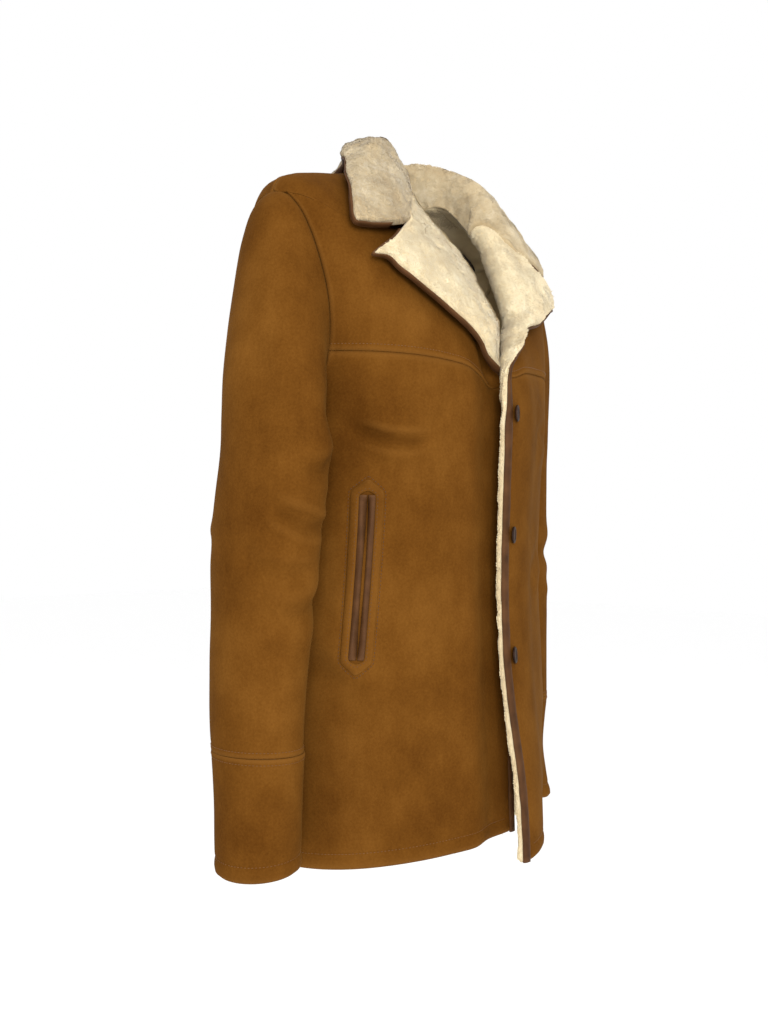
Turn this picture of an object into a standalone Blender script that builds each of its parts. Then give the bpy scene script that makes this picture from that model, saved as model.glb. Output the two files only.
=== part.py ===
"""Hip-length shearling coat, single breasted, filled out as it is worn.

Metres, +Z up. The wearer faces -Y, so the wearer's right side is -X. The origin is the
nape, where the collar is sewn to the back and the coat hangs on the wearer's neck.

Every sewn piece is a closed wall of sheepskin with its leather side out and its fur side
in. Only the lapels and the collar are turned, so their fur shows. The body is one smooth
form, read at (angle, run): the angle goes round from the centre front, and the run goes
down from the neckline. A front is a strip of that form with its outer edge rolled back.
"""

from collections import namedtuple

import bpy
import numpy as np

# ---------------------------------------------------------------- driving dimensions

SEAM_GAP = 0.00035  # between pieces that are sewn together
SKIN = 0.009  # sheepskin, leather and clipped fur
COLLAR_SKIN = 0.012  # longer fur on the collar
LAPEL_SKIN = 0.011
EDGE_SKIN = 0.011  # the left front's overlapping edge
SLEEVE_SKIN = 0.008
ROLL_RADIUS = 0.003  # leather side of the lapel's roll
EDGE_X = -0.0190  # the left front's free edge, past the centre
LAP_LIFT = 0.0098  # the left front lies this far out over the right one
LAP_SINK = 0.0147  # the right front lies this far in under the left one
FLARE = 0.019  # the left front's lower corner swings out by this
SHOULDER_RUN = 0.150  # neckline to shoulder point
ARMPIT_RUN = 0.355
ARMHOLE_FRONT = np.radians(23.0)  # how far the armhole cuts into the front
ARMHOLE_BACK = np.radians(24.0)
YOKE_SIDE_Z = -0.205  # the yoke seam at the armhole
HEM_RUN = 0.825
CUFF_SEAM_Z = -0.600
BINDING_WIDTH = 0.0095  # on the leather face
BINDING_LEG = 0.005  # down the edge of the lapel and the collar
BINDING_LEG_FRONT = 0.003  # down the front's straight edge
BINDING_THICK = 0.0016
BINDING_GAP = 0.0012
LINING_THICK = 0.0012
BUTTON_RADIUS = 0.009
BUTTON_THICK = 0.0030
BUTTON_INSET = 0.0192  # centre from the left front's edge
BUTTON_HEIGHTS = (-0.258, -0.386, -0.514)
BUTTON_SIDES = 18
LEFT_SET_BACK = 0.06  # the left side sits back by this share of its distance from the centre
CAP_LEAD_TOP, CAP_LEAD_UNDER = 0.115, 0.050  # how fast the sleeve leaves the armhole
CAP_DROP_TOP, CAP_DROP_UNDER = 0.200, 0.060  # how fast it turns down the arm
POCKET_TOP = (-0.1573, -0.3475)  # x and z of the right pocket opening's upper end
POCKET_FOOT = (-0.1638, -0.513)
WELT_WIDTH = 0.0075
WELT_LIFT = 0.0022
WELT_SLIT = 0.0004  # half the slit between the two welts
FRAME_WIDTH = 0.0085
FRAME_LIFT = 0.0014
FRAME_POINT = 0.013  # the frame's pointed ends
PATCH_GAP = 0.0012  # under what lies flat on a panel

# ---------------------------------------------------------------- tables

Section = namedtuple(
    "Section", "name run half_width front back z_side z_front z_back middle_y square"
)
BODY = (
    Section("neckline", 0.000, 0.080, 0.066, 0.070, 0.010, -0.055, 0.000, -0.012, 0.05),
    Section("shoulder", 0.150, 0.218, 0.098, 0.105, -0.043, -0.125, -0.070, -0.026, 0.08),
    Section("chest", 0.255, 0.208, 0.130, 0.120, -0.150, -0.195, -0.165, -0.028, 0.06),
    Section("armpit", 0.355, 0.193, 0.140, 0.118, -0.250, -0.262, -0.252, -0.028, 0.04),
    Section("waist", 0.525, 0.180, 0.139, 0.104, -0.420, -0.425, -0.420, -0.026, 0.05),
    Section("hip", 0.685, 0.187, 0.148, 0.118, -0.580, -0.582, -0.580, -0.026, 0.03),
    Section("hem", 0.825, 0.190, 0.154, 0.126, -0.727, -0.708, -0.727, -0.026, 0.00),
)

# The rolled edge of each front. x is measured from the centre towards its own side.
# roll is where the leather starts to turn, reach is the vector from there to the free
# edge when it is folded right back, and turn is how far it is folded, 1 being right back.
Roll = namedtuple("Roll", "name roll_x roll_z reach_x reach_z turn")
RIGHT_ROLL = (
    Roll("collarbone", 0.040, -0.078, 0.116, -0.036, 1.00),
    Roll("upper_chest", 0.027, -0.112, 0.099, -0.021, 1.00),
    Roll("chest", 0.025, -0.150, 0.067, -0.006, 1.00),
    Roll("low_chest", 0.028, -0.184, 0.032, 0.001, 1.00),
    Roll("above_break", 0.027, -0.206, 0.009, 0.001, 0.42),
    Roll("yoke_seam", 0.010, -0.228, 0.005, 0.000, 0.00),
    Roll("break", -0.0096, -0.250, 0.003, 0.000, 0.00),
)
LEFT_ROLL = (
    Roll("collarbone", 0.047, -0.078, 0.109, -0.040, 1.00),
    Roll("upper_chest", 0.032, -0.108, 0.088, -0.029, 1.00),
    Roll("chest", 0.026, -0.146, 0.052, -0.009, 1.00),
    Roll("low_chest", 0.017, -0.180, 0.021, 0.000, 1.00),
    Roll("above_break", 0.008, -0.203, 0.012, 0.000, 0.80),
    Roll("yoke_seam", -0.002, -0.222, 0.008, 0.000, 0.50),
    Roll("break", -0.0066, -0.268, 0.003, 0.000, 0.00),
)
# The top row of a lapel: where the roll meets the neckline, the notch, and the tip.
LapelTop = namedtuple("LapelTop", "neck_angle notch_x notch_z tip_x tip_z")
LAPEL_TOP = LapelTop(np.radians(44.0), 0.107, -0.073, 0.166, -0.104)

# The collar from the nape round to the notch: share of the seam's length, the fold that
# it passes over half way up, and its outer edge, all on the fur side.
# higher is how much higher the fold is on the left half, and lower on the right half.
Fall = namedtuple("Fall", "name share fold_x fold_y fold_z edge_x edge_y edge_z higher")
COLLAR = (
    Fall("nape", 0.00, 0.000, 0.060, 0.044, 0.000, 0.096, -0.020, 0.000),
    Fall("back_neck", 0.22, 0.046, 0.040, 0.044, 0.068, 0.066, 0.010, 0.018),
    Fall("back_side", 0.32, 0.067, 0.010, 0.048, 0.098, 0.030, 0.020, 0.012),
    Fall("side_neck", 0.43, 0.084, -0.022, 0.045, 0.123, -0.032, 0.013, 0.006),
    Fall("front_neck", 0.58, 0.086, -0.060, 0.033, 0.152, -0.072, -0.018, -0.004),
    Fall("roll_end", 0.72, 0.095, -0.088, 0.001, 0.171, -0.095, -0.042, -0.012),
    Fall("gorge", 0.86, 0.124, -0.107, -0.042, 0.179, -0.106, -0.063, -0.003),
    Fall("notch", 1.00, 0.143, -0.117, -0.072, 0.181, -0.110, -0.078, 0.000),
)

# The sleeves below the armpit, x towards their own side. tilt raises the inner side.
Ring = namedtuple("Ring", "name z x y across deep tilt")
RIGHT_SLEEVE = (
    Ring("biceps", -0.300, 0.236, -0.051, 0.046, 0.061, 0.0),
    Ring("above_elbow", -0.400, 0.241, -0.044, 0.046, 0.060, 0.0),
    Ring("elbow", -0.480, 0.243, -0.041, 0.044, 0.055, 0.0),
    Ring("forearm", -0.550, 0.244, -0.038, 0.043, 0.052, 0.0),
    Ring("cuff_seam", CUFF_SEAM_Z, 0.245, -0.041, 0.042, 0.049, 0.00),
    Ring("cuff", -0.650, 0.245, -0.043, 0.040, 0.045, 0.05),
    Ring("hem", -0.715, 0.245, -0.044, 0.040, 0.043, 0.10),
)
LEFT_SLEEVE = (
    Ring("biceps", -0.300, 0.236, 0.000, 0.046, 0.061, 0.0),
    Ring("above_elbow", -0.400, 0.240, 0.001, 0.046, 0.060, 0.0),
    Ring("elbow", -0.480, 0.241, -0.006, 0.044, 0.055, 0.0),
    Ring("forearm", -0.550, 0.242, -0.008, 0.043, 0.052, 0.0),
    Ring("cuff_seam", CUFF_SEAM_Z, 0.243, -0.010, 0.042, 0.050, 0.00),
    Ring("cuff", -0.655, 0.243, -0.010, 0.040, 0.045, 0.04),
    Ring("hem", -0.728, 0.244, -0.020, 0.040, 0.048, 0.06),
)

# Grid counts: rows go down a piece, columns go across it.
NECK_ROWS = 6  # shoulder seam
YOKE_ROWS = 7  # armhole above the yoke seam
ARM_ROWS = 4  # armhole below the yoke seam
SIDE_ROWS = 12  # side seam
FRONT_COLUMNS = 9
ROLL_COLUMNS = 5
LAPEL_COLUMNS = 6
BREAK_BINDING_ROW = 10.6  # where the bindings are narrowest, at the foot of the lapels
NOTCH_COLUMN = 3  # of the lapel's columns
BACK_COLUMNS = 16
FALL_ROWS = 9
CAP_ROWS = 8
ARM_RINGS = 7
CUFF_RINGS = 4
WELT_ROWS = 7
FRAME_SIDE_ROWS = 8

RIGHT, LEFT = -1, 1

# ---------------------------------------------------------------- small helpers


def column(table, name):
    return np.array([getattr(row, name) for row in table], float)


def smooth(xs, ys, x):
    """A monotone cubic through the rows of a table."""
    xs, ys = np.asarray(xs, float), np.asarray(ys, float)
    step = np.diff(xs)
    slope = np.diff(ys) / step
    tangent = np.concatenate([slope[:1], np.zeros(len(xs) - 2), slope[-1:]])
    for i in range(1, len(xs) - 1):
        if slope[i - 1] * slope[i] > 0:
            before, after = 2 * step[i] + step[i - 1], step[i] + 2 * step[i - 1]
            tangent[i] = (before + after) / (before / slope[i - 1] + after / slope[i])
    x = np.clip(x, xs[0], xs[-1])
    i = np.clip(np.searchsorted(xs, x, side="right") - 1, 0, len(xs) - 2)
    t = (x - xs[i]) / step[i]
    return (
        ys[i] * (2 * t**3 - 3 * t**2 + 1)
        + tangent[i] * step[i] * (t**3 - 2 * t**2 + t)
        + ys[i + 1] * (3 * t**2 - 2 * t**3)
        + tangent[i + 1] * step[i] * (t**3 - t**2)
    )


def ease(x, low, high):
    """0 below low and 1 above high, smooth between."""
    t = np.clip((np.asarray(x, float) - low) / (high - low), 0, 1)
    return t * t * (3 - 2 * t)


def unit(v):
    return v / np.maximum(np.linalg.norm(v, axis=-1, keepdims=True), 1e-12)


def dot(a, b):
    return np.sum(a * b, axis=-1, keepdims=True)


# ---------------------------------------------------------------- the body's form

RUNS = column(BODY, "run")


def set_back(x):
    """How far the left side sits behind the right one."""
    left = np.maximum(x, 0)
    return LEFT_SET_BACK * left**2 / (left + 0.03)


def form(angle, run):
    """The leather side of the body, before any lap or flare."""
    angle, run = np.broadcast_arrays(np.asarray(angle, float), np.asarray(run, float))
    half, front, back, z_side, z_front, z_back, middle, square = (
        smooth(RUNS, column(BODY, name), run)
        for name in Section._fields[2:]
    )
    s, c = np.sin(angle), np.cos(angle)
    depth = np.where(c > 0, front, back)
    z_end = np.where(c > 0, z_front, z_back)
    x = half * s * (1 + square * c * c)
    y = middle - depth * c * (1 + square * s * s)
    y = y + set_back(x)
    z = z_side + (z_end - z_side) * c * c
    return np.stack([x, y, z], axis=-1)


def form_normal(angle, run):
    step = 1e-4
    run = np.clip(run, step, RUNS[-1] - step)
    across = form(angle + step, run) - form(angle - step, run)
    down = form(angle, run + step) - form(angle, run - step)
    return unit(np.cross(down, across))


def find_run(angle, z):
    """The run at which the form has this height at this angle."""
    low, high = np.zeros_like(angle), np.full_like(angle, RUNS[-1])
    for _ in range(30):
        middle = (low + high) / 2
        too_high = form(angle, middle)[..., 2] > z
        low, high = np.where(too_high, middle, low), np.where(too_high, high, middle)
    return (low + high) / 2


def find_front(x, z):
    """The angle and run where the front of the form has this x and z."""
    x, z = np.broadcast_arrays(np.asarray(x, float), np.asarray(z, float))
    angle, run = x / 0.2, 0.1 - z
    step = 1e-5
    for _ in range(30):
        here = form(angle, run)
        by_angle = (form(angle + step, run) - here) / step
        by_run = (form(angle, run + step) - here) / step
        wrong_x, wrong_z = x - here[..., 0], z - here[..., 2]
        det = by_angle[..., 0] * by_run[..., 2] - by_run[..., 0] * by_angle[..., 2]
        det = np.where(np.abs(det) < 1e-6, -1e-6, det)
        move_angle = (wrong_x * by_run[..., 2] - by_run[..., 0] * wrong_z) / det
        move_run = (by_angle[..., 0] * wrong_z - wrong_x * by_angle[..., 2]) / det
        angle = angle + np.clip(move_angle, -0.15, 0.15)
        run = np.clip(run + np.clip(move_run, -0.03, 0.03), 0, RUNS[-1] - 2 * step)
    return angle, run


def lap(side, x, z):
    """How far a front stands off the form where it laps the other one, x to its own side."""
    if side == RIGHT:
        return -LAP_SINK * ease(-z, 0.172, 0.208) * (1 - ease(x, 0.015, 0.060))
    corner = ease(-z, 0.520, 0.700) * (1 - ease(x, -0.03, 0.10))
    return LAP_LIFT * ease(-z, 0.155, 0.200) * (1 - ease(x, 0.012, 0.080)) + FLARE * corner


def body_point(side, angle, run, lift=0.0):
    """A point of the leather side, the angle being measured towards the piece's own side."""
    angle = side * np.asarray(angle, float)
    point = form(angle, run)
    normal = form_normal(angle, run)
    stand = lap(side, side * point[..., 0], point[..., 2]) * (np.abs(angle) < np.pi / 2)
    return point + normal * (stand + lift)[..., None], normal


# ---------------------------------------------------------------- the armhole


def armhole(turn):
    """Angle and run round the armhole: 0 at the shoulder, pi/2 in front, pi below."""
    s = np.sin(turn)
    reach = np.where(s > 0, ARMHOLE_FRONT, ARMHOLE_BACK)
    angle = np.pi / 2 - reach * np.sign(s) * np.abs(s) ** 0.8
    run = SHOULDER_RUN + (ARMPIT_RUN - SHOULDER_RUN) * (1 - np.cos(turn)) / 2
    return angle, run


def yoke_turn():
    """The turn at which the front of the armhole is as low as the yoke seam."""
    turns = np.linspace(0.1, np.pi - 0.1, 400)
    heights = form(*armhole(turns))[:, 2]
    return float(np.interp(-YOKE_SIDE_Z, -heights, turns))


def armhole_turns():
    """The turns of every row that ends on the armhole, from the shoulder all round."""
    seam = yoke_turn()
    upper = np.linspace(0, seam, YOKE_ROWS + 1)
    lower = np.linspace(seam, np.pi, ARM_ROWS + 1)
    front = np.concatenate([upper, lower[1:]])
    return front, np.concatenate([front, 2 * np.pi - front[-2:0:-1]])


FRONT_TURNS, ALL_TURNS = armhole_turns()
NECK_RUNS = np.linspace(0, SHOULDER_RUN, NECK_ROWS + 1)
SIDE_RUNS = np.linspace(ARMPIT_RUN, HEM_RUN, SIDE_ROWS + 1)


def sleeve_lead(turn):
    """The direction in which the right sleeve leaves the armhole."""
    top, front = np.cos(turn), np.sin(turn)
    lead = np.stack([-np.ones_like(turn), -0.20 * front, -0.55 + 0.10 * top], axis=-1)
    return unit(lead)


def armhole_rim(side, turn):
    """Leather and fur points of the armhole's rim, where panel and sleeve share a mitre."""
    angle, run = armhole(turn)
    mirror = np.array([-side, 1.0, 1.0])
    outer = form(-angle, run)
    body_normal = form_normal(-angle, run)
    step = 1e-4
    ahead, behind = armhole(turn + step), armhole(turn - step)
    along = unit(form(-ahead[0], ahead[1]) - form(-behind[0], behind[1]))
    sleeve_normal = unit(np.cross(sleeve_lead(turn), along))
    radial = np.stack([np.zeros_like(turn), -np.sin(turn), np.cos(turn)], axis=-1)
    sleeve_normal = np.where(dot(sleeve_normal, radial) < 0, -1, 1) * sleeve_normal
    total = body_normal + sleeve_normal
    mitre = SLEEVE_SKIN * total / np.maximum(1 + dot(body_normal, sleeve_normal), 0.6)
    return outer * mirror, (outer - mitre) * mirror


# ---------------------------------------------------------------- walls


def surface_normals(grid, like=None):
    down = np.gradient(grid, axis=0)
    across = np.gradient(grid, axis=1)
    normal = unit(np.cross(down, across))
    if like is not None:
        normal = normal * np.where(dot(normal, like) < 0, -1, 1)
    return normal


def pull_in(outer, inner, gap, edges):
    """Moves the named edges of both faces inwards along the surface, which opens the seams."""
    faces = []
    for grid in (outer, inner):
        grid = grid.copy()
        normal = surface_normals(grid)
        for edge in edges:
            row = {"top": 0, "bottom": -1}.get(edge)
            col = {"start": 0, "end": -1}.get(edge)
            here = grid[row] if row is not None else grid[:, col]
            facing = normal[row] if row is not None else normal[:, col]
            next_in = (
                grid[1 if row == 0 else -2] if row is not None
                else grid[:, 1 if col == 0 else -2]
            )
            along = unit(np.gradient(here, axis=0))
            inward = unit(np.cross(facing, along))
            inward = inward * np.where(dot(inward, next_in - here) < 0, -1, 1)
            moved = here + inward * gap
            if row is not None:
                grid[row] = moved
            else:
                grid[:, col] = moved
        faces.append(grid)
    return faces


def closed_wall(name, outer, inner, material, ring=False):
    """A closed solid between two grids of points. A ring's last column meets its first."""
    rows, cols = outer.shape[:2]
    points = np.concatenate([outer.reshape(-1, 3), inner.reshape(-1, 3)])
    second = rows * cols
    faces = []
    for i in range(rows - 1):
        for j in range(cols if ring else cols - 1):
            k = (j + 1) % cols
            a, b, c, d = i * cols + j, i * cols + k, (i + 1) * cols + k, (i + 1) * cols + j
            faces.append((a, b, c, d))
            faces.append((second + d, second + c, second + b, second + a))
    for i, flip in ((0, False), (rows - 1, True)):
        for j in range(cols if ring else cols - 1):
            k = (j + 1) % cols
            quad = (i * cols + k, i * cols + j, second + i * cols + j, second + i * cols + k)
            faces += rim_faces(points, quad, flip)
    if not ring:
        for j, flip in ((0, True), (cols - 1, False)):
            for i in range(rows - 1):
                a, b = i * cols + j, (i + 1) * cols + j
                faces += rim_faces(points, (b, a, second + a, second + b), flip)
    return add_object(name, points, faces, material)


def rim_faces(points, quad, flip):
    """Two triangles split along the shorter diagonal, so that pieces that meet split alike."""
    a, b, c, d = quad
    if np.linalg.norm(points[a] - points[c]) < np.linalg.norm(points[b] - points[d]):
        pair = [(a, b, c), (a, c, d)]
    else:
        pair = [(a, b, d), (b, c, d)]
    return [face[::-1] for face in pair] if flip else pair


def add_object(name, points, faces, material):
    mesh = bpy.data.meshes.new(name)
    mesh.from_pydata([tuple(map(float, p)) for p in points], [], faces)
    mesh.validate()
    mesh.materials.append(material)
    fans = [(f[0], f[i], f[i + 1]) for f in faces for i in range(1, len(f) - 1)]
    corners = points[np.array(fans)]
    volume = np.einsum("ij,ij->i", corners[:, 0], np.cross(corners[:, 1], corners[:, 2])).sum()
    if volume < 0:
        mesh.flip_normals()
    mesh.shade_smooth()
    mesh.set_sharp_from_angle(angle=np.radians(50))
    obj = bpy.data.objects.new(name, mesh)
    bpy.context.collection.objects.link(obj)
    return obj


# ---------------------------------------------------------------- materials


def leather(name, color, roughness):
    material = bpy.data.materials.new(name)
    material.use_nodes = True
    shader = material.node_tree.nodes["Principled BSDF"]
    shader.inputs["Base Color"].default_value = (*color, 1.0)
    shader.inputs["Roughness"].default_value = roughness
    shader.inputs["Metallic"].default_value = 0.0
    return material


# ---------------------------------------------------------------- the fronts

SEAM_ROW = 5.0  # where the roll tables meet the yoke seam
BREAK_ROW = 6.0


def roll_columns(side, height):
    """The roll table's columns at these heights, 0 at the collarbone and 6 at the break."""
    table = RIGHT_ROLL if side == RIGHT else LEFT_ROLL
    rows = np.arange(len(table), dtype=float)
    return [smooth(rows, column(table, name), height) for name in Roll._fields[1:]]


def yoke_rows():
    """The side boundary of a yoke's rows, and each row's height in the roll tables."""
    angle, run = armhole(FRONT_TURNS[: YOKE_ROWS + 1])
    angle = np.concatenate([np.full(NECK_ROWS, np.pi / 2), angle])
    run = np.concatenate([NECK_RUNS[:-1], run])
    return angle, run, np.linspace(-1, SEAM_ROW, len(run))


def lower_rows():
    angle, run = armhole(FRONT_TURNS[YOKE_ROWS:])
    angle = np.concatenate([angle, np.full(SIDE_ROWS, np.pi / 2)])
    run = np.concatenate([run, SIDE_RUNS[1:]])
    height = np.minimum(np.linspace(SEAM_ROW, BREAK_ROW + 3.0, len(run)), BREAK_ROW)
    return angle, run, height


def edge_skin(side):
    return EDGE_SKIN if side == LEFT else LAPEL_SKIN


def front_grid(side, piece):
    """Leather and fur points of a front: body columns, then the roll, then the lapel."""
    side_angle, side_run, height = yoke_rows() if piece == "yoke" else lower_rows()
    roll_x, roll_z, reach_x, reach_z, turn = roll_columns(side, np.maximum(height, 0))
    if piece == "lower":
        free = np.flatnonzero(height >= BREAK_ROW)
        bottom = form(0.0, HEM_RUN)[2]
        roll_z[free] = np.linspace(roll_z[free[0]], bottom, len(free))
    roll_angle, roll_run = find_front(roll_x, roll_z)
    if piece == "lower":
        roll_run[-1] = HEM_RUN
    above = np.clip(-height, 0, 1)
    roll_angle = roll_angle + (LAPEL_TOP.neck_angle - roll_angle) * above
    roll_run = roll_run * (1 - above)
    share = np.linspace(0, 1, FRONT_COLUMNS + 1)
    angle = side_angle[:, None] + (roll_angle - side_angle)[:, None] * share
    run = side_run[:, None] + (roll_run - side_run)[:, None] * share**2.2
    side_z, roll_z = form(side_angle, side_run)[:, 2], form(roll_angle, roll_run)[:, 2]
    level_run = find_run(angle, side_z[:, None] + (roll_z - side_z)[:, None] * share**5)
    run = run + (level_run - run) * seam_weight(piece, len(side_run))[:, None]
    outer, normal = body_point(side, angle, run)
    outer = outer - droop(side, outer, run)
    thick = SKIN + (edge_skin(side) - SKIN) * (1 - ease(side * outer[..., 0], 0.02, 0.08))
    inner = outer - normal * thick[..., None]
    turns = FRONT_TURNS[: YOKE_ROWS + 1] if piece == "yoke" else FRONT_TURNS[YOKE_ROWS:]
    first = NECK_ROWS if piece == "yoke" else 0
    rim = armhole_rim(side, turns)
    outer[first : first + len(turns), 0] = rim[0]
    inner[first : first + len(turns), 0] = rim[1]
    paths = [lapel_path(roll_x[i], roll_z[i], reach_x[i], reach_z[i]) for i in range(len(turn))]
    if piece == "yoke":
        paths[0] = lapel_top_path(side * outer[0, -1, 0], outer[0, -1, 2])
        paths[1] = 0.5 * (paths[0] + paths[2])
        paths[1][:, 0] += side * outer[1, -1, 0] - paths[1][0, 0]
        paths[1][:, 1] += outer[1, -1, 2] - paths[1][0, 1]
    rolled = rolled_edge(side, outer[:, -1], normal[:, -1], np.array(paths), turn)
    if piece == "yoke":
        stand = neck_outward(outer[0])
        inner[0] = mitred(outer[0], normal[0], stand, SKIN)
    outer = np.concatenate([outer, rolled[0]], axis=1)
    inner = np.concatenate([inner, rolled[1]], axis=1)
    return outer, inner


def seam_weight(piece, rows):
    """1 on rows by the yoke seam, which is level, falling to 0 away from it."""
    row = np.arange(rows)
    if piece == "yoke":
        return ease(row, NECK_ROWS - 2, rows - 1)
    return 1 - ease(row, 0, rows - 4)


def droop(side, points, run):
    """The left front's hem hangs lower than the right one's, most of all near its corner."""
    if side == RIGHT:
        return 0.0
    x = points[..., 0]
    depth = 0.014 * ease(x, -0.032, -0.018) + 0.008 * np.exp(-(((x + 0.014) / 0.010) ** 2))
    down = np.zeros_like(points)
    down[..., 2] = depth * ease(run, HEM_RUN - 0.09, HEM_RUN)
    return down


def neck_outward(points):
    """Which way the collar's stand faces at points of the neckline."""
    return unit((points - np.array([0.0, -0.012, 0.0])) * np.array([1.0, 1.0, 0.0]))


def mitred(points, normal_a, normal_b, thick):
    total = normal_a + normal_b
    return points - thick * total / np.maximum(1 + dot(normal_a, normal_b), 0.6)


def lapel_path(roll_x, roll_z, reach_x, reach_z):
    """x and z of a lapel's columns from the roll line to the free edge."""
    share = np.linspace(0, 1, LAPEL_COLUMNS + 1)
    return np.stack([roll_x + reach_x * share, roll_z + reach_z * share], axis=-1)


def lapel_top_path(x, z):
    """x and z along a lapel's top edge, from the neck by the notch to the tip."""
    top = LAPEL_TOP
    marks = [0, NOTCH_COLUMN, LAPEL_COLUMNS]
    columns = np.arange(LAPEL_COLUMNS + 1)
    xs = np.interp(columns, marks, [x, top.notch_x, top.tip_x])
    zs = np.interp(columns, marks, [z, top.notch_z, top.tip_z])
    return np.stack([xs, zs], axis=-1)


def rolled_edge(side, start, normal, paths, turn):
    """The part of a front past its roll line. It turns through a share of a full fold."""
    thick = edge_skin(side)
    arc = np.pi * ROLL_RADIUS
    full = np.maximum(np.pi * turn, 1e-3)[:, None, None]
    n = normal[:, None, :]
    reach = paths[:, -1] - paths[:, 0]
    towards = np.stack(
        [side * (reach[:, 0] + 0.004), np.zeros(len(turn)), reach[:, 1]], axis=-1
    )
    e = unit(towards - normal * dot(towards, normal))[:, None, :]
    a = full * (np.arange(1, ROLL_COLUMNS + 1) / ROLL_COLUMNS)[None, :, None]
    radius = arc / full
    bend = start[:, None, :] - e * radius * np.sin(a) + n * radius * (1 - np.cos(a))
    bend_inner = bend - (n * np.cos(a) + e * np.sin(a)) * thick
    share = (np.arange(1, LAPEL_COLUMNS + 1) / LAPEL_COLUMNS)[None, :, None]
    length = np.linalg.norm(reach, axis=-1)[:, None, None]
    ahead = -e * np.cos(full) + n * np.sin(full)
    straight = bend[:, -1:] + ahead * length * share
    straight_inner = straight - (n * np.cos(full) + e * np.sin(full)) * thick
    base, base_normal = body_point(side, *find_front(paths[:, 1:, 0], paths[:, 1:, 1]))
    lift = 2 * ROLL_RADIUS + 0.001 + 0.004 * np.sin(np.pi * share)
    laid = base + base_normal * lift
    laid_inner = base + base_normal * (lift + thick)
    folded = ease(turn, 0.80, 1.0)[:, None, None]
    flat = straight + (laid - straight) * folded
    flat_inner = straight_inner + (laid_inner - straight_inner) * folded
    return np.concatenate([bend, flat], axis=1), np.concatenate([bend_inner, flat_inner], axis=1)


# ---------------------------------------------------------------- the back


def back_grid():
    angle, run = armhole(2 * np.pi - FRONT_TURNS)
    angle = np.concatenate([np.full(NECK_ROWS, np.pi / 2), angle, np.full(SIDE_ROWS, np.pi / 2)])
    run = np.concatenate([NECK_RUNS[:-1], run, SIDE_RUNS[1:]])
    share = np.linspace(0, 1, BACK_COLUMNS + 1)
    angle = angle[:, None] + (2 * np.pi - 2 * angle)[:, None] * share
    run = np.repeat(run[:, None], BACK_COLUMNS + 1, axis=1)
    outer, normal = form(angle, run), form_normal(angle, run)
    inner = outer - normal * SKIN
    rows = slice(NECK_ROWS, NECK_ROWS + len(FRONT_TURNS))
    for side, edge in ((LEFT, 0), (RIGHT, -1)):
        outer[rows, edge], inner[rows, edge] = armhole_rim(side, 2 * np.pi - FRONT_TURNS)
    inner[0] = mitred(outer[0], normal[0], neck_outward(outer[0]), SKIN)
    return outer, inner


# ---------------------------------------------------------------- the sleeves


def sleeve_table(side):
    return RIGHT_SLEEVE if side == RIGHT else LEFT_SLEEVE


def sleeve_ring(side, z, turns):
    """A ring of the sleeve's leather side below the armpit."""
    table = sleeve_table(side)
    heights = -column(table, "z")
    x, y, across, deep, tilt = (
        smooth(heights, column(table, name), -z) for name in Ring._fields[2:]
    )
    out, front = np.cos(turns), np.sin(turns)
    return np.stack(
        [side * (x + across * out), y - deep * front, z - tilt * across * out], axis=-1
    )


def sleeve_grid(side):
    turns = ALL_TURNS
    start, start_inner = armhole_rim(side, turns)
    top = sleeve_table(side)[0].z
    finish = sleeve_ring(side, np.full(len(turns), top), turns)
    lead = sleeve_lead(turns) * np.array([-side, 1.0, 1.0])
    upper = ((1 + np.cos(turns)) / 2)[:, None]
    leave = lead * (CAP_LEAD_UNDER + (CAP_LEAD_TOP - CAP_LEAD_UNDER) * upper)
    arrive = np.array([0, 0, -1.0]) * (CAP_DROP_UNDER + (CAP_DROP_TOP - CAP_DROP_UNDER) * upper)
    rings = []
    for t in np.linspace(0, 1, CAP_ROWS + 1):
        rings.append(
            start * (2 * t**3 - 3 * t**2 + 1)
            + leave * (t**3 - 2 * t**2 + t)
            + finish * (3 * t**2 - 2 * t**3)
            + arrive * (t**3 - t**2)
        )
    for z in np.linspace(top, CUFF_SEAM_Z + SEAM_GAP, ARM_RINGS + 1)[1:]:
        rings.append(sleeve_ring(side, np.full(len(turns), z), turns))
    outer = np.array(rings)
    inner = outer - ring_normals(outer) * SLEEVE_SKIN
    inner[0] = start_inner
    inner[-1, :, 2] = outer[-1, :, 2]
    for grid in (outer, inner):
        grid[0] += unit(grid[1] - grid[0]) * SEAM_GAP
    return outer, inner


def cuff_grid(side):
    heights = np.linspace(CUFF_SEAM_Z, sleeve_table(side)[-1].z, CUFF_RINGS + 1)
    outer = np.array([sleeve_ring(side, np.full(len(ALL_TURNS), z), ALL_TURNS) for z in heights])
    inner = outer - ring_normals(outer) * SLEEVE_SKIN
    inner[0, :, 2] = outer[0, :, 2]
    return outer, inner


def ring_normals(grid):
    """Outward normals of a tube's rings."""
    down = np.gradient(grid, axis=0)
    across = np.roll(grid, -1, axis=1) - np.roll(grid, 1, axis=1)
    normal = unit(np.cross(down, across))
    centre = grid.mean(axis=1, keepdims=True)
    return normal * np.where(dot(normal, grid - centre).mean() < 0, -1, 1)


# ---------------------------------------------------------------- the collar


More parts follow.
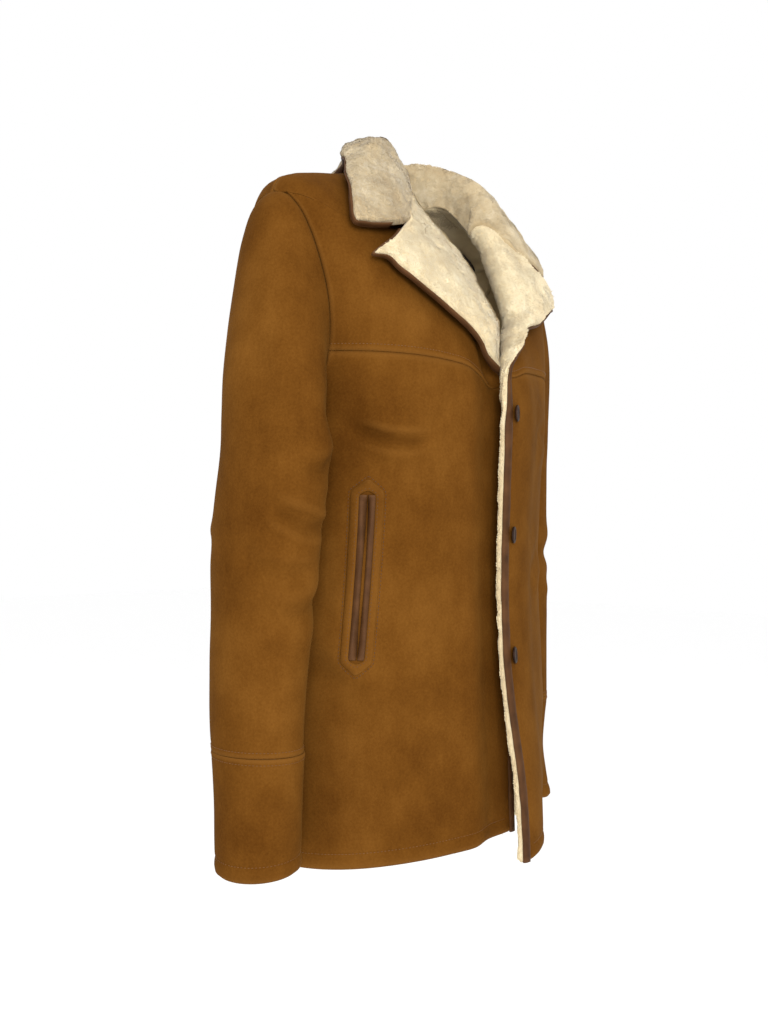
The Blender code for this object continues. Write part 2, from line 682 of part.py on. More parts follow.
def collar_grid(yokes, back):
    """Fur and leather points of the collar, from the right notch round to the left one."""
    last = FRONT_COLUMNS + ROLL_COLUMNS + NOTCH_COLUMN + 1
    right_leather, right_fur = (grid[0, :last] for grid in yokes[RIGHT])
    left_leather, left_fur = (grid[0, :last] for grid in yokes[LEFT])
    back_leather, back_fur = (grid[0] for grid in back)
    seam_leather = np.concatenate([right_leather[::-1], back_leather[::-1][1:-1], left_leather])
    seam_fur = np.concatenate([right_fur[::-1], back_fur[::-1][1:-1], left_fur])
    steps = np.linalg.norm(np.diff(seam_fur, axis=0), axis=1)
    length = np.concatenate([[0], np.cumsum(steps)])
    middle = np.interp(len(seam_fur) // 2, np.arange(len(length)), length)
    along = (length - middle) / (length[-1] / 2)
    share, side = np.abs(along), np.sign(along)
    shares = column(COLLAR, "share")
    read = [smooth(shares, column(COLLAR, name), share) for name in Fall._fields[2:]]
    fold = np.stack([side * read[0], read[1], read[2] + side * read[6]], axis=-1)
    edge = np.stack([side * read[3], read[4], read[5]], axis=-1)
    for line in (fold, edge):
        line[:, 1] += set_back(line[:, 0])
    corner = 2 * fold - (seam_fur + edge) / 2
    t = np.linspace(0, 1, FALL_ROWS + 1)[:, None, None]
    fur = seam_fur * (1 - t) ** 2 + corner * 2 * t * (1 - t) + edge * t**2
    normal = surface_normals(fur)
    normal = normal * np.where(normal[FALL_ROWS // 2 + 2, len(share) // 2, 1] < 0, -1, 1)
    for _ in range(4):
        inside = normal[:, :-2] + 2 * normal[:, 1:-1] + normal[:, 2:]
        normal = unit(np.concatenate([normal[:, :1], inside, normal[:, -1:]], axis=1))
    thick = SKIN + (COLLAR_SKIN - SKIN) * t
    leather = fur - normal * thick
    leather[0] = seam_leather
    return fur, leather


# ---------------------------------------------------------------- bindings


def binding(name, leather_edge, fur_edge, leather_in, fur_in, leg, material, gap=BINDING_GAP):
    """A strip that lies on the leather beside an edge and turns down over the edge."""
    down = unit(fur_edge - leather_edge)
    down_in = unit(fur_in - leather_in)
    steps = unit(np.diff(leather_edge, axis=0))
    along = unit(np.concatenate([steps[:1], steps[:-1] + steps[1:], steps[-1:]]))
    inward = leather_in - leather_edge
    inward = inward - down * dot(inward, down)
    inward = unit(inward - along * dot(inward, along))
    near = np.broadcast_to(gap, len(leather_edge))[:, None]
    far = near + BINDING_THICK
    leg = np.broadcast_to(leg, len(leather_edge))[:, None]
    mitre = np.ones((len(leather_edge), 1))
    mitre[1:-1] = np.sqrt(2 / np.maximum(1 + dot(steps[:-1], steps[1:]), 0.5))
    profile = [
        leather_in - down_in * near,
        leather_edge - inward * mitre * near - down * near,
        leather_edge - inward * mitre * near + down * leg,
        leather_edge - inward * mitre * far + down * leg,
        leather_edge - inward * mitre * far - down * far,
        leather_in - down_in * far,
    ]
    return swept(name, np.stack(profile, axis=1), material)


def swept(name, sections, material):
    """A closed solid through a row of sections, each with the same number of points."""
    count, sides = sections.shape[:2]
    faces = [tuple(range(sides)), tuple((count - 1) * sides + k for k in reversed(range(sides)))]
    for i in range(count - 1):
        for k in range(sides):
            m = (k + 1) % sides
            faces.append((i * sides + m, i * sides + k, (i + 1) * sides + k, (i + 1) * sides + m))
    return add_object(name, sections.reshape(-1, 3), faces, material)


def beside(leather, fur, distance):
    """Leather and fur points this far in from the last column, or less far where it bends."""
    found = []
    distances = np.broadcast_to(distance, len(leather))
    for outer, inner, distance in zip(leather[:, ::-1], fur[:, ::-1], distances):
        length = np.concatenate([[0], np.cumsum(np.linalg.norm(np.diff(outer, axis=0), axis=1))])
        for share in (1.0, 0.8, 0.6, 0.4, 0.3):
            pair = [
                np.array([np.interp(distance * share, length, line[:, k]) for k in range(3)])
                for line in (outer, inner)
            ]
            if np.linalg.norm(pair[0] - outer[0]) > 0.995 * distance * share:
                break
        found.append(pair)
    return np.moveaxis(np.array(found), 1, 0)


def front_binding(side, name, yoke, lower, material):
    """From the notch along the lapel's top, round its tip and down the edge to the hem."""
    leather, fur = (np.concatenate([yoke[k], lower[k][1:]]) for k in (0, 1))
    top = slice(-(LAPEL_COLUMNS - NOTCH_COLUMN), -1)
    ends = [np.concatenate([grid[0, top], grid[:, -1]]) for grid in (leather, fur)]
    upright = [np.swapaxes(grid[:3, top], 0, 1)[:, ::-1] for grid in (leather, fur)]
    above = beside(*upright, BINDING_WIDTH)
    twist = np.exp(-(((np.arange(len(leather)) - BREAK_BINDING_ROW) / 2.7) ** 2))
    down_edge = beside(leather, fur, BINDING_WIDTH * (1 - 0.65 * twist))
    tip = [grid[0, -1] + 0.25 * (grid[1, -2] - grid[0, -1]) for grid in (leather, fur)]
    down_edge[:, 0] = tip
    inside = np.concatenate([above, down_edge], axis=1)
    rows = np.arange(len(ends[0]))
    straight = ease(rows, NECK_ROWS + YOKE_ROWS - 1, NECK_ROWS + YOKE_ROWS + 5)
    leg = BINDING_LEG + (BINDING_LEG_FRONT - BINDING_LEG) * straight
    gap = BINDING_GAP + 0.0025 * np.concatenate([np.zeros(above.shape[1]), twist])
    return binding(name, *ends, *inside, leg, material, gap)


def collar_binding(fur, leather, material):
    """Down one front edge of the collar, round its outer edge and up the other front edge."""
    rows = slice(4, -1)
    edges, insides = [], []
    for grid in (leather, fur):
        edges.append(np.concatenate([grid[rows, 0], grid[-1], grid[rows, -1][::-1]]))
    starts = beside(leather[rows, 1::-1], fur[rows, 1::-1], 0.8 * BINDING_WIDTH)
    finish = beside(leather[rows, -2:], fur[rows, -2:], 0.8 * BINDING_WIDTH)[:, ::-1]
    low = beside(*(np.swapaxes(grid, 0, 1) for grid in (leather, fur)), 0.8 * BINDING_WIDTH)
    for k, grid in enumerate((leather, fur)):
        low[k, 0] = grid[-1, 0] + 0.8 * (grid[-2, 1] - grid[-1, 0])
        low[k, -1] = grid[-1, -1] + 0.8 * (grid[-2, -2] - grid[-1, -1])
        insides.append(np.concatenate([starts[k], low[k], finish[k]]))
    return binding("binding_collar", *edges, *insides, BINDING_LEG, material, 1.6 * BINDING_GAP)


# ---------------------------------------------------------------- lining


def lining_grid(back):
    """Two faces just inside the back's fur side, all but its edges."""
    leather, fur = (grid[1:-1, 2:-2] for grid in back)
    inward = unit(fur - leather)
    near, far = PATCH_GAP * 1.5, PATCH_GAP * 1.5 + LINING_THICK
    return fur + inward * near, fur + inward * far


# ---------------------------------------------------------------- pockets


class Panel:
    """A panel's leather face, read anywhere between its grid's points."""

    def __init__(self, side, grid):
        self.side, self.grid = side, grid
        self.normals = surface_normals(grid, np.array([0.0, -1.0, 0.0]))

    def at(self, row, col, lift):
        row = np.clip(row, 0, len(self.grid) - 1.001)
        col = np.clip(col, 0, self.grid.shape[1] - 1.001)
        i, j = row.astype(int), col.astype(int)
        a, b = (row - i)[..., None], (col - j)[..., None]
        found = []
        for grid in (self.grid, self.normals):
            upper = grid[i, j] * (1 - b) + grid[i, j + 1] * b
            lower = grid[i + 1, j] * (1 - b) + grid[i + 1, j + 1] * b
            found.append(upper * (1 - a) + lower * a)
        return found[0] + unit(found[1]) * np.asarray(lift)[..., None]

    def locate(self, x, z):
        """Row and column of the point with this x and z on the half of the panel by the arm."""
        rows = np.linspace(0, len(self.grid) - 1.01, 400)[:, None]
        cols = np.linspace(0, FRONT_COLUMNS, 400)[None, :]
        points = self.at(*np.broadcast_arrays(rows, cols), 0.0)
        miss = np.hypot(points[..., 0] - x, points[..., 2] - z)
        miss = np.where(points[..., 1] < BODY[3].middle_y, miss, 1.0)
        i, j = np.unravel_index(np.argmin(miss), miss.shape)
        return np.array([rows[i, 0], cols[0, j]])


class Pocket:
    """Places points by (down, across) in metres from the upper end of a pocket's opening."""

    def __init__(self, panel):
        self.panel = panel
        mirror = -panel.side
        self.start = panel.locate(mirror * POCKET_TOP[0], POCKET_TOP[1])
        self.end = panel.locate(mirror * POCKET_FOOT[0], POCKET_FOOT[1])
        ends = panel.at(*np.stack([self.start, self.end], axis=1), 0.0)
        self.length = float(np.linalg.norm(ends[1] - ends[0]))

    def at(self, down, across, lift):
        down, across = np.broadcast_arrays(np.asarray(down, float), np.asarray(across, float))
        share = (down / self.length)[..., None]
        row, col = np.moveaxis(self.start + (self.end - self.start) * share, -1, 0)
        step = 0.25
        one_way = self.panel.at(row, col - step, 0.0)
        other_way = self.panel.at(row, col + step, 0.0)
        scale = 2 * step / np.linalg.norm(other_way - one_way, axis=-1)
        return self.panel.at(row, col + across * scale, lift)

    def welt(self, name, near, far, material):
        down = np.linspace(0, self.length, WELT_ROWS + 1)[:, None]
        across = np.array([near, far])[None, :]
        inner = self.at(down, across, PATCH_GAP)
        outer = self.at(down, across, PATCH_GAP + WELT_LIFT)
        return closed_wall(name, outer, inner, material)

    def frame(self, name, material):
        """A flat ring round both welts, with a point above and below."""
        half = WELT_SLIT + WELT_WIDTH + SEAM_GAP
        inner_ring = self.outline(half, SEAM_GAP, 0.004)
        outer_ring = self.outline(half + FRAME_WIDTH, FRAME_WIDTH * 0.35, FRAME_POINT)
        down, across = np.moveaxis(np.array([outer_ring, inner_ring]), -1, 0)
        inner = self.at(down, across, PATCH_GAP)
        outer = self.at(down, across, PATCH_GAP + FRAME_LIFT)
        return closed_wall(name, outer, inner, material, ring=True)

    def outline(self, half, beyond, point):
        """Down and across of a long hexagon round the opening."""
        downs = np.linspace(-beyond, self.length + beyond, FRAME_SIDE_ROWS + 1)
        front = [(down, half) for down in downs]
        back = [(down, -half) for down in downs[::-1]]
        head, foot = (-beyond - point, 0.0), (self.length + beyond + point, 0.0)
        return [head, *front, foot, *back]


# ---------------------------------------------------------------- buttons


def button(name, centre, normal, material):
    """A flat button with a raised rim, standing on the leather."""
    across = unit(np.cross(normal, np.array([0.0, 0.0, 1.0])))
    up = np.cross(across, normal)
    angles = np.linspace(0, 2 * np.pi, BUTTON_SIDES, endpoint=False)
    ring = np.cos(angles)[:, None] * across + np.sin(angles)[:, None] * up
    shape = ((0.90, 0.0), (1.0, 0.4), (1.0, 0.8), (0.88, 1.0), (0.62, 0.7))
    rings = [
        centre + ring * BUTTON_RADIUS * wide + normal * (PATCH_GAP + BUTTON_THICK * high)
        for wide, high in shape
    ]
    return swept(name, np.array(rings), material)


# ---------------------------------------------------------------- build


def clear_scene():
    for obj in list(bpy.data.objects):
        bpy.data.objects.remove(obj, do_unlink=True)


def main():
    clear_scene()
    tan = leather("tan_suede", (0.21, 0.078, 0.011), 0.85)
    fur = leather("cream_fur", (0.80, 0.70, 0.52), 0.95)
    brown = leather("brown_leather", (0.115, 0.058, 0.038), 0.55)
    horn = leather("dark_horn", (0.045, 0.016, 0.008), 0.35)
    cloth = leather("taupe_lining", (0.070, 0.053, 0.042), 0.80)
    names = {RIGHT: "right", LEFT: "left"}
    yokes = {side: front_grid(side, "yoke") for side in names}
    lowers = {side: front_grid(side, "lower") for side in names}
    back = back_grid()
    for side, name in names.items():
        outer, inner = pull_in(*yokes[side], SEAM_GAP / 2, ["start", "bottom"])
        closed_wall(f"front_{name}_yoke", outer, inner, tan)
        outer, inner = pull_in(*lowers[side], SEAM_GAP / 2, ["start", "top"])
        closed_wall(f"front_{name}_lower", outer, inner, tan)
        front_binding(side, f"binding_front_{name}", yokes[side], lowers[side], brown)
        pocket = Pocket(Panel(side, lowers[side][0]))
        pocket.frame(f"pocket_frame_{name}", tan)
        for place, sign in (("front", 1), ("back", -1)):
            near, far = sign * WELT_SLIT, sign * (WELT_SLIT + WELT_WIDTH)
            pocket.welt(f"pocket_welt_{name}_{place}", near, far, brown)
        closed_wall(f"sleeve_{name}", *sleeve_grid(side), tan, ring=True)
        closed_wall(f"cuff_{name}", *cuff_grid(side), tan, ring=True)
    closed_wall("back", *pull_in(*back, SEAM_GAP / 2, ["start", "end"]), tan)
    closed_wall("back_lining", *lining_grid(back), cloth)
    top, under = pull_in(*collar_grid(yokes, back), SEAM_GAP, ["top"])
    closed_wall("collar", top, under, fur)
    collar_binding(top, under, brown)
    panel = Panel(LEFT, lowers[LEFT][0])
    for number, z in enumerate(BUTTON_HEIGHTS, 1):
        row, col = panel.locate(EDGE_X + BUTTON_INSET, z)[:, None]
        centre, above = panel.at(row, col, 0.0)[0], panel.at(row, col, 1.0)[0]
        button(f"button_{number}", centre, above - centre, horn)


main()
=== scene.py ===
"""The looks of a hip-length shearling coat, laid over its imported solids.

Metres, +Z up. The wearer faces -Y, so the wearer's right side is -X. Each sewn piece is
worked out on the same form as its solid, resampled finely, and given its seams, creases,
fur and stitches. Locks of fur lie on the turned lapels, the collar and the fronts' edges,
inside the back's neck and hem, and inside the cuffs.
"""

from collections import namedtuple

import bpy
import numpy as np
from mathutils import Matrix


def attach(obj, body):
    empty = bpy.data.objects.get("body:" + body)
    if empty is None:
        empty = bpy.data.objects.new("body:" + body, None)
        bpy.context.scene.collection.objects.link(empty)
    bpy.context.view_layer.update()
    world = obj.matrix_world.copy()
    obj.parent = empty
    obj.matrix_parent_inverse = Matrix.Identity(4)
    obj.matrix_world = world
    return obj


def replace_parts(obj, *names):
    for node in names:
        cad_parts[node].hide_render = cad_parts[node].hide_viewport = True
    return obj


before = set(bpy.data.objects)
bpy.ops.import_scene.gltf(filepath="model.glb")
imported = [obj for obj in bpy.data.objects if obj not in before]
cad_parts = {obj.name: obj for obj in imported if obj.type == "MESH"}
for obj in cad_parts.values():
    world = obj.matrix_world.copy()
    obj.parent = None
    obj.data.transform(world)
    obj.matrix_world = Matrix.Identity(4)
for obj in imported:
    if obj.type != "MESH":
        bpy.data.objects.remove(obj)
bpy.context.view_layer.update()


# ---------------------------------------------------------------- the coat's sizes

SEAM_GAP = 0.00035  # between pieces that are sewn together
SKIN = 0.009  # sheepskin, leather and clipped fur
COLLAR_SKIN = 0.012  # longer fur on the collar
LAPEL_SKIN = 0.011
EDGE_SKIN = 0.011  # the left front's overlapping edge
SLEEVE_SKIN = 0.008
ROLL_RADIUS = 0.003  # leather side of the lapel's roll
EDGE_X = -0.0190  # the left front's free edge, past the centre
LAP_LIFT = 0.0098  # the left front lies this far out over the right one
LAP_SINK = 0.0147  # the right front lies this far in under the left one
FLARE = 0.019  # the left front's lower corner swings out by this
# Depths below the neck over which each of these three comes in, and x over which it fades.
SINK_DOWN, SINK_OUT = (0.172, 0.208), (0.015, 0.060)
LIFT_DOWN, LIFT_OUT = (0.155, 0.200), (0.012, 0.080)
FLARE_DOWN, FLARE_OUT = (0.520, 0.700), (-0.03, 0.10)
SHOULDER_RUN = 0.150  # neckline to shoulder point
ARMPIT_RUN = 0.355
ARMHOLE_FRONT = np.radians(23.0)  # how far the armhole cuts into the front
ARMHOLE_BACK = np.radians(24.0)
ARMHOLE_POWER = 0.8  # under 1 makes its front and back squarer
YOKE_SIDE_Z = -0.205  # the yoke seam at the armhole
HEM_RUN = 0.825
CUFF_SEAM_Z = -0.600
BINDING_WIDTH = 0.0095  # on the leather face
BINDING_LEG = 0.0052  # down the edge of the lapel and the collar
BINDING_LEG_FRONT = 0.0022  # down the front's straight edge
BINDING_LEG_COLLAR = 0.0085  # at the collar's front edges
STRAIGHT_WIDTH = 0.8  # of the binding along the fronts
BREAK_NARROWING = 0.55  # share of their width lost at the foot of the lapels
TIP_SHARE = 0.25  # how far in the binding reaches at a lapel's tip, in grid cells
COLLAR_BINDING = 0.8  # share of the width along the collar
CORNER_CUT = 0.2  # how far a sharp corner is drawn in, in grid cells each way
CORNER_SHARE = 0.8  # how far in it reaches at the collar's corners, in grid cells
LINING_THICK = 0.0012
LINING_GAP = 0.0018
BUTTON_RADIUS = 0.009
BUTTON_THICK = 0.0030
BUTTON_INSET = 0.0192  # centre from the left front's edge
BUTTON_TILT = np.radians(24.0)  # away from the front's edge
LINING_DROP = 0.030  # the lining's top edge below the neck seam
BUTTON_SHIFT = 0.008  # towards the edge, as far as the front is flat
BUTTON_PULL = 0.0035  # and past that, pulled by its thread
BUTTON_HEIGHTS = (-0.258, -0.386, -0.514)
LEFT_SET_BACK = 0.06  # the left side sits back by this share of its distance from the centre
CAP_LEAD_TOP, CAP_LEAD_UNDER = 0.115, 0.050  # how fast the sleeve leaves the armhole
CAP_FORWARD, CAP_DOWN, CAP_LEVEL = 0.20, 0.55, 0.10  # its direction there, for 1 outwards
CAP_DROP_TOP, CAP_DROP_UNDER = 0.200, 0.060  # how fast it turns down the arm
POCKET_TOP = (-0.1573, -0.3475)  # x and z of the right pocket opening's upper end
POCKET_FOOT = (-0.1638, -0.513)
WELT_WIDTH = 0.0075
WELT_SLIT = 0.0004  # half the slit between the two welts
FRAME_WIDTH = 0.0085
FRAME_POINT = 0.013  # the frame's pointed ends
PATCH_GAP = 0.0012  # under what lies flat on a panel
MITRE_LIMIT = 0.6  # keeps a sharp mitre from growing long
HEM_DROOP, HEM_DROOP_X = 0.014, (-0.032, -0.018)  # of the left front, and where it comes in
CORNER_DROOP, CORNER_DROOP_X = 0.008, (-0.014, 0.010)  # and more round here, this far each way
DROOP_RUN = 0.09  # how far up it is felt


# ---------------------------------------------------------------- tables

Section = namedtuple(
    "Section", "name run half_width front back z_side z_front z_back middle_y square"
)
BODY = (
    Section("neckline", 0.000, 0.080, 0.066, 0.070, 0.010, -0.055, 0.000, -0.012, 0.05),
    Section("shoulder", 0.150, 0.218, 0.098, 0.105, -0.043, -0.125, -0.070, -0.026, 0.08),
    Section("chest", 0.255, 0.208, 0.130, 0.120, -0.150, -0.195, -0.165, -0.028, 0.06),
    Section("armpit", 0.355, 0.193, 0.140, 0.118, -0.250, -0.262, -0.252, -0.028, 0.04),
    Section("waist", 0.525, 0.180, 0.139, 0.104, -0.420, -0.425, -0.420, -0.026, 0.05),
    Section("hip", 0.685, 0.187, 0.148, 0.118, -0.580, -0.582, -0.580, -0.026, 0.03),
    Section("hem", 0.825, 0.190, 0.154, 0.126, -0.727, -0.708, -0.727, -0.026, 0.00),
)

# The rolled edge of each front. x is measured from the centre towards its own side.
# roll is where the leather starts to turn, reach is the vector from there to the free
# edge when it is folded right back, and turn is how far it is folded, 1 being right back.
Roll = namedtuple("Roll", "name roll_x roll_z reach_x reach_z turn")
RIGHT_ROLL = (
    Roll("collarbone", 0.032, -0.078, 0.118, -0.040, 1.00),
    Roll("upper_chest", 0.024, -0.112, 0.101, -0.023, 1.00),
    Roll("chest", 0.022, -0.150, 0.069, -0.009, 1.00),
    Roll("low_chest", 0.024, -0.184, 0.031, -0.002, 1.00),
    Roll("above_break", 0.019, -0.206, 0.014, -0.003, 0.85),
    Roll("yoke_seam", 0.007, -0.228, 0.007, -0.001, 0.40),
    Roll("break", -0.0096, -0.250, 0.003, 0.000, 0.00),
)
LEFT_ROLL = (
    Roll("collarbone", 0.072, -0.078, 0.105, -0.037, 1.00),
    Roll("upper_chest", 0.062, -0.108, 0.082, -0.018, 1.00),
    Roll("chest", 0.050, -0.146, 0.049, -0.002, 1.00),
    Roll("low_chest", 0.012, -0.178, 0.008, 0.002, 1.00),
    Roll("above_break", -0.006, -0.202, 0.006, 0.001, 0.65),
    Roll("yoke_seam", -0.008, -0.222, 0.004, 0.000, 0.25),
    Roll("break", -0.0066, -0.268, 0.003, 0.000, 0.00),
)
# The top row of a lapel: the notch and the tip.
LapelTop = namedtuple("LapelTop", "notch_x notch_z tip_x tip_z")
RIGHT_LAPEL_TOP = LapelTop(0.107, -0.073, 0.157, -0.107)
LEFT_LAPEL_TOP = LapelTop(0.107, -0.073, 0.170, -0.112)
NECK_ANGLE = np.radians(44.0)  # where the roll meets the neckline
LEFT_NECK_DROP = 0.030  # the left roll starts this far down from it

# The collar from the nape round to the notch: share of the seam's length, the fold that
# it passes over half way up, and its outer edge, all on the fur side.
# higher is how much higher the fold is on the left half, and lower on the right half.
# tuck is how far the edge lies in towards the neck on the right half.
Fall = namedtuple("Fall", "name share fold_x fold_y fold_z edge_x edge_y edge_z higher tuck")
COLLAR = (
    Fall("nape", 0.00, 0.000, 0.060, 0.044, 0.000, 0.092, -0.008, 0.000, 0.000),
    Fall("back_neck", 0.22, 0.046, 0.040, 0.044, 0.068, 0.068, 0.008, 0.014, 0.012),
    Fall("back_side", 0.32, 0.067, 0.010, 0.048, 0.098, 0.030, 0.020, 0.012, 0.028),
    Fall("side_neck", 0.43, 0.089, -0.021, 0.045, 0.129, -0.034, 0.014, 0.006, 0.000),
    Fall("front_neck", 0.58, 0.086, -0.060, 0.033, 0.157, -0.072, -0.018, -0.004, 0.000),
    Fall("roll_end", 0.72, 0.095, -0.088, 0.001, 0.171, -0.095, -0.042, -0.012, 0.000),
    Fall("gorge", 0.86, 0.124, -0.107, -0.042, 0.179, -0.106, -0.063, -0.003, 0.000),
    Fall("notch", 1.00, 0.143, -0.117, -0.072, 0.181, -0.110, -0.078, 0.000, 0.000),
)
TUCK_WAY = (0.6, 0.8)  # how much of the tuck is inwards and how much forwards
TUCK_THINNING = 20.0  # share of its thickness that the collar loses for each metre of tuck
RIGHT_FOLD_BACK = 0.012  # the right half's fold, drawn back over the roll's end
FOLD_BACK_SHARES = (0.72, 0.10)  # where along the seam, and how far each way
COLLAR_SPREAD = (0.006, -0.004)  # added to the edge's x in front, right and left
SPREAD_SHARES = (0.45, 0.6)  # from none to all of it along the seam

# The sleeves below the armpit, x towards their own side. tilt raises the inner side.
Ring = namedtuple("Ring", "name z x y across deep tilt")
RIGHT_SLEEVE = (
    Ring("biceps", -0.300, 0.236, -0.051, 0.046, 0.061, 0.0),
    Ring("above_elbow", -0.400, 0.241, -0.044, 0.046, 0.060, 0.0),
    Ring("elbow", -0.480, 0.243, -0.041, 0.044, 0.055, 0.0),
    Ring("forearm", -0.550, 0.244, -0.038, 0.043, 0.052, 0.0),
    Ring("cuff_seam", CUFF_SEAM_Z, 0.245, -0.041, 0.042, 0.049, 0.00),
    Ring("cuff", -0.650, 0.245, -0.043, 0.040, 0.045, 0.05),
    Ring("hem", -0.715, 0.245, -0.044, 0.040, 0.043, 0.10),
)
LEFT_SLEEVE = (
    Ring("biceps", -0.300, 0.236, 0.000, 0.046, 0.061, 0.0),
    Ring("above_elbow", -0.400, 0.240, 0.001, 0.046, 0.060, 0.0),
    Ring("elbow", -0.480, 0.241, -0.006, 0.044, 0.055, 0.0),
    Ring("forearm", -0.550, 0.242, -0.008, 0.043, 0.052, 0.0),
    Ring("cuff_seam", CUFF_SEAM_Z, 0.243, -0.010, 0.042, 0.050, 0.00),
    Ring("cuff", -0.655, 0.243, -0.010, 0.040, 0.045, 0.04),
    Ring("hem", -0.728, 0.244, -0.020, 0.040, 0.048, 0.06),
)

# Grid counts: rows go down a piece, columns go across it.
NECK_ROWS = 6  # shoulder seam
YOKE_ROWS = 7  # armhole above the yoke seam
ARM_ROWS = 4  # armhole below the yoke seam
SIDE_ROWS = 12  # side seam
FRONT_COLUMNS = 9
ROLL_COLUMNS = 5
LAPEL_COLUMNS = 6
LAST_TURNED_ROW = 13  # where the lapels end
BREAK_BINDING_ROW = 10.6  # where the bindings are narrowest, at the foot of the lapels
BREAK_BINDING_ROWS = 2.7  # how many rows up and down they are narrowed
NOTCH_COLUMN = 3  # of the lapel's columns
BACK_COLUMNS = 16
FALL_ROWS = 9
COLLAR_FREE_ROW = 4  # from here down its front edges are bound
CAP_ROWS = 8
ARM_RINGS = 7
CUFF_RINGS = 4

RIGHT, LEFT = -1, 1


# ---------------------------------------------------------------- small helpers


def column(table, name):
    """One column of a table."""
    return np.array([getattr(row, name) for row in table], float)


def hermite(t, start, leave, finish, arrive):
    """A cubic from start to finish with these tangents at its two ends."""
    return (
        start * (2 * t**3 - 3 * t**2 + 1)
        + leave * (t**3 - 2 * t**2 + t)
        + finish * (3 * t**2 - 2 * t**3)
        + arrive * (t**3 - t**2)
    )


def smooth(xs, ys, x):
    """A monotone cubic through the rows of a table."""
    xs, ys = np.asarray(xs, float), np.asarray(ys, float)
    step = np.diff(xs)
    slope = np.diff(ys) / step
    tangent = np.concatenate([slope[:1], np.zeros(len(xs) - 2), slope[-1:]])
    for i in range(1, len(xs) - 1):
        if slope[i - 1] * slope[i] > 0:
            before, after = 2 * step[i] + step[i - 1], step[i] + 2 * step[i - 1]
            tangent[i] = (before + after) / (before / slope[i - 1] + after / slope[i])
    x = np.clip(x, xs[0], xs[-1])
    i = np.clip(np.searchsorted(xs, x, side="right") - 1, 0, len(xs) - 2)
    t = (x - xs[i]) / step[i]
    return hermite(t, ys[i], tangent[i] * step[i], ys[i + 1], tangent[i + 1] * step[i])


def read(table, at, where):
    """Every column of a table past the one that it is read by, at these values of that one."""
    names = table[0]._fields
    start = names.index(at)
    known = column(table, at)
    if known[-1] < known[0]:
        known, where = -known, -where
    return [smooth(known, column(table, name), where) for name in names[start + 1 :]]


def ease(x, low, high):
    """0 below low and 1 above high, smooth between."""
    t = np.clip((np.asarray(x, float) - low) / (high - low), 0, 1)
    return t * t * (3 - 2 * t)


def flipped(grids):
    """Grids with their rows as columns."""
    return [np.swapaxes(grid, 0, 1) for grid in grids]


def unit(v):
    """Vectors of length 1."""
    return v / np.maximum(np.linalg.norm(v, axis=-1, keepdims=True), 1e-12)


def dot(a, b):
    """Products of vectors, kept as columns."""
    return np.sum(a * b, axis=-1, keepdims=True)


def bell(x, middle, wide):
    """1 at the middle, and close to 0 from two widths away."""
    return np.exp(-(((x - middle) / wide) ** 2))


def lengths(line):
    """Metres along a line of points, from its first one."""
    return np.concatenate([[0], np.cumsum(np.linalg.norm(np.diff(line, axis=0), axis=1))])


def along_line(line, length, at):
    """The line's points at these distances along it."""
    return np.stack([np.interp(at, length, values) for values in line.T], axis=-1)


# ---------------------------------------------------------------- the body's form

RUNS = column(BODY, "run")
SIDE_Y = BODY[3].middle_y  # the front of the coat is ahead of this
SET_BACK_EASE = 0.03  # how far out the left side starts to sit back


def set_back(x):
    """How far the left side sits behind the right one."""
    left = np.maximum(x, 0)
    return LEFT_SET_BACK * left**2 / (left + SET_BACK_EASE)


def form(angle, run):
    """The leather side of the body, before any lap or flare."""
    angle, run = np.broadcast_arrays(np.asarray(angle, float), np.asarray(run, float))
    half, front, back, z_side, z_front, z_back, middle, square = read(BODY, "run", run)
    s, c = np.sin(angle), np.cos(angle)
    depth = np.where(c > 0, front, back)
    z_end = np.where(c > 0, z_front, z_back)
    x = half * s * (1 + square * c * c)
    y = middle - depth * c * (1 + square * s * s)
    y = y + set_back(x)
    z = z_side + (z_end - z_side) * c * c
    return np.stack([x, y, z], axis=-1)


def form_normal(angle, run):
    """The form's outward normals."""
    step = 1e-4
    run = np.clip(run, step, RUNS[-1] - step)
    across = form(angle + step, run) - form(angle - step, run)
    down = form(angle, run + step) - form(angle, run - step)
    return unit(np.cross(down, across))


def find_run(angle, z):
    """The run at which the form has this height at this angle."""
    low, high = np.zeros_like(angle), np.full_like(angle, RUNS[-1])
    for _ in range(30):
        middle = (low + high) / 2
        too_high = form(angle, middle)[..., 2] > z
        low, high = np.where(too_high, middle, low), np.where(too_high, high, middle)
    return (low + high) / 2


MOST_TURN, MOST_RUN = 0.15, 0.03  # that one step of the search below may move


def find_front(x, z):
    """The angle and run where the front of the form has this x and z."""
    x, z = np.broadcast_arrays(np.asarray(x, float), np.asarray(z, float))
    angle, run = x / 0.2, 0.1 - z
    step = 1e-5
    for _ in range(30):
        here = form(angle, run)
        by_angle = (form(angle + step, run) - here) / step
        by_run = (form(angle, run + step) - here) / step
        wrong_x, wrong_z = x - here[..., 0], z - here[..., 2]
        det = by_angle[..., 0] * by_run[..., 2] - by_run[..., 0] * by_angle[..., 2]
        det = np.where(np.abs(det) < 1e-6, -1e-6, det)
        move_angle = (wrong_x * by_run[..., 2] - by_run[..., 0] * wrong_z) / det
        move_run = (by_angle[..., 0] * wrong_z - wrong_x * by_angle[..., 2]) / det
        angle = angle + np.clip(move_angle, -MOST_TURN, MOST_TURN)
        run = run + np.clip(move_run, -MOST_RUN, MOST_RUN)
        run = np.clip(run, 0, RUNS[-1] - 2 * step)
    return angle, run


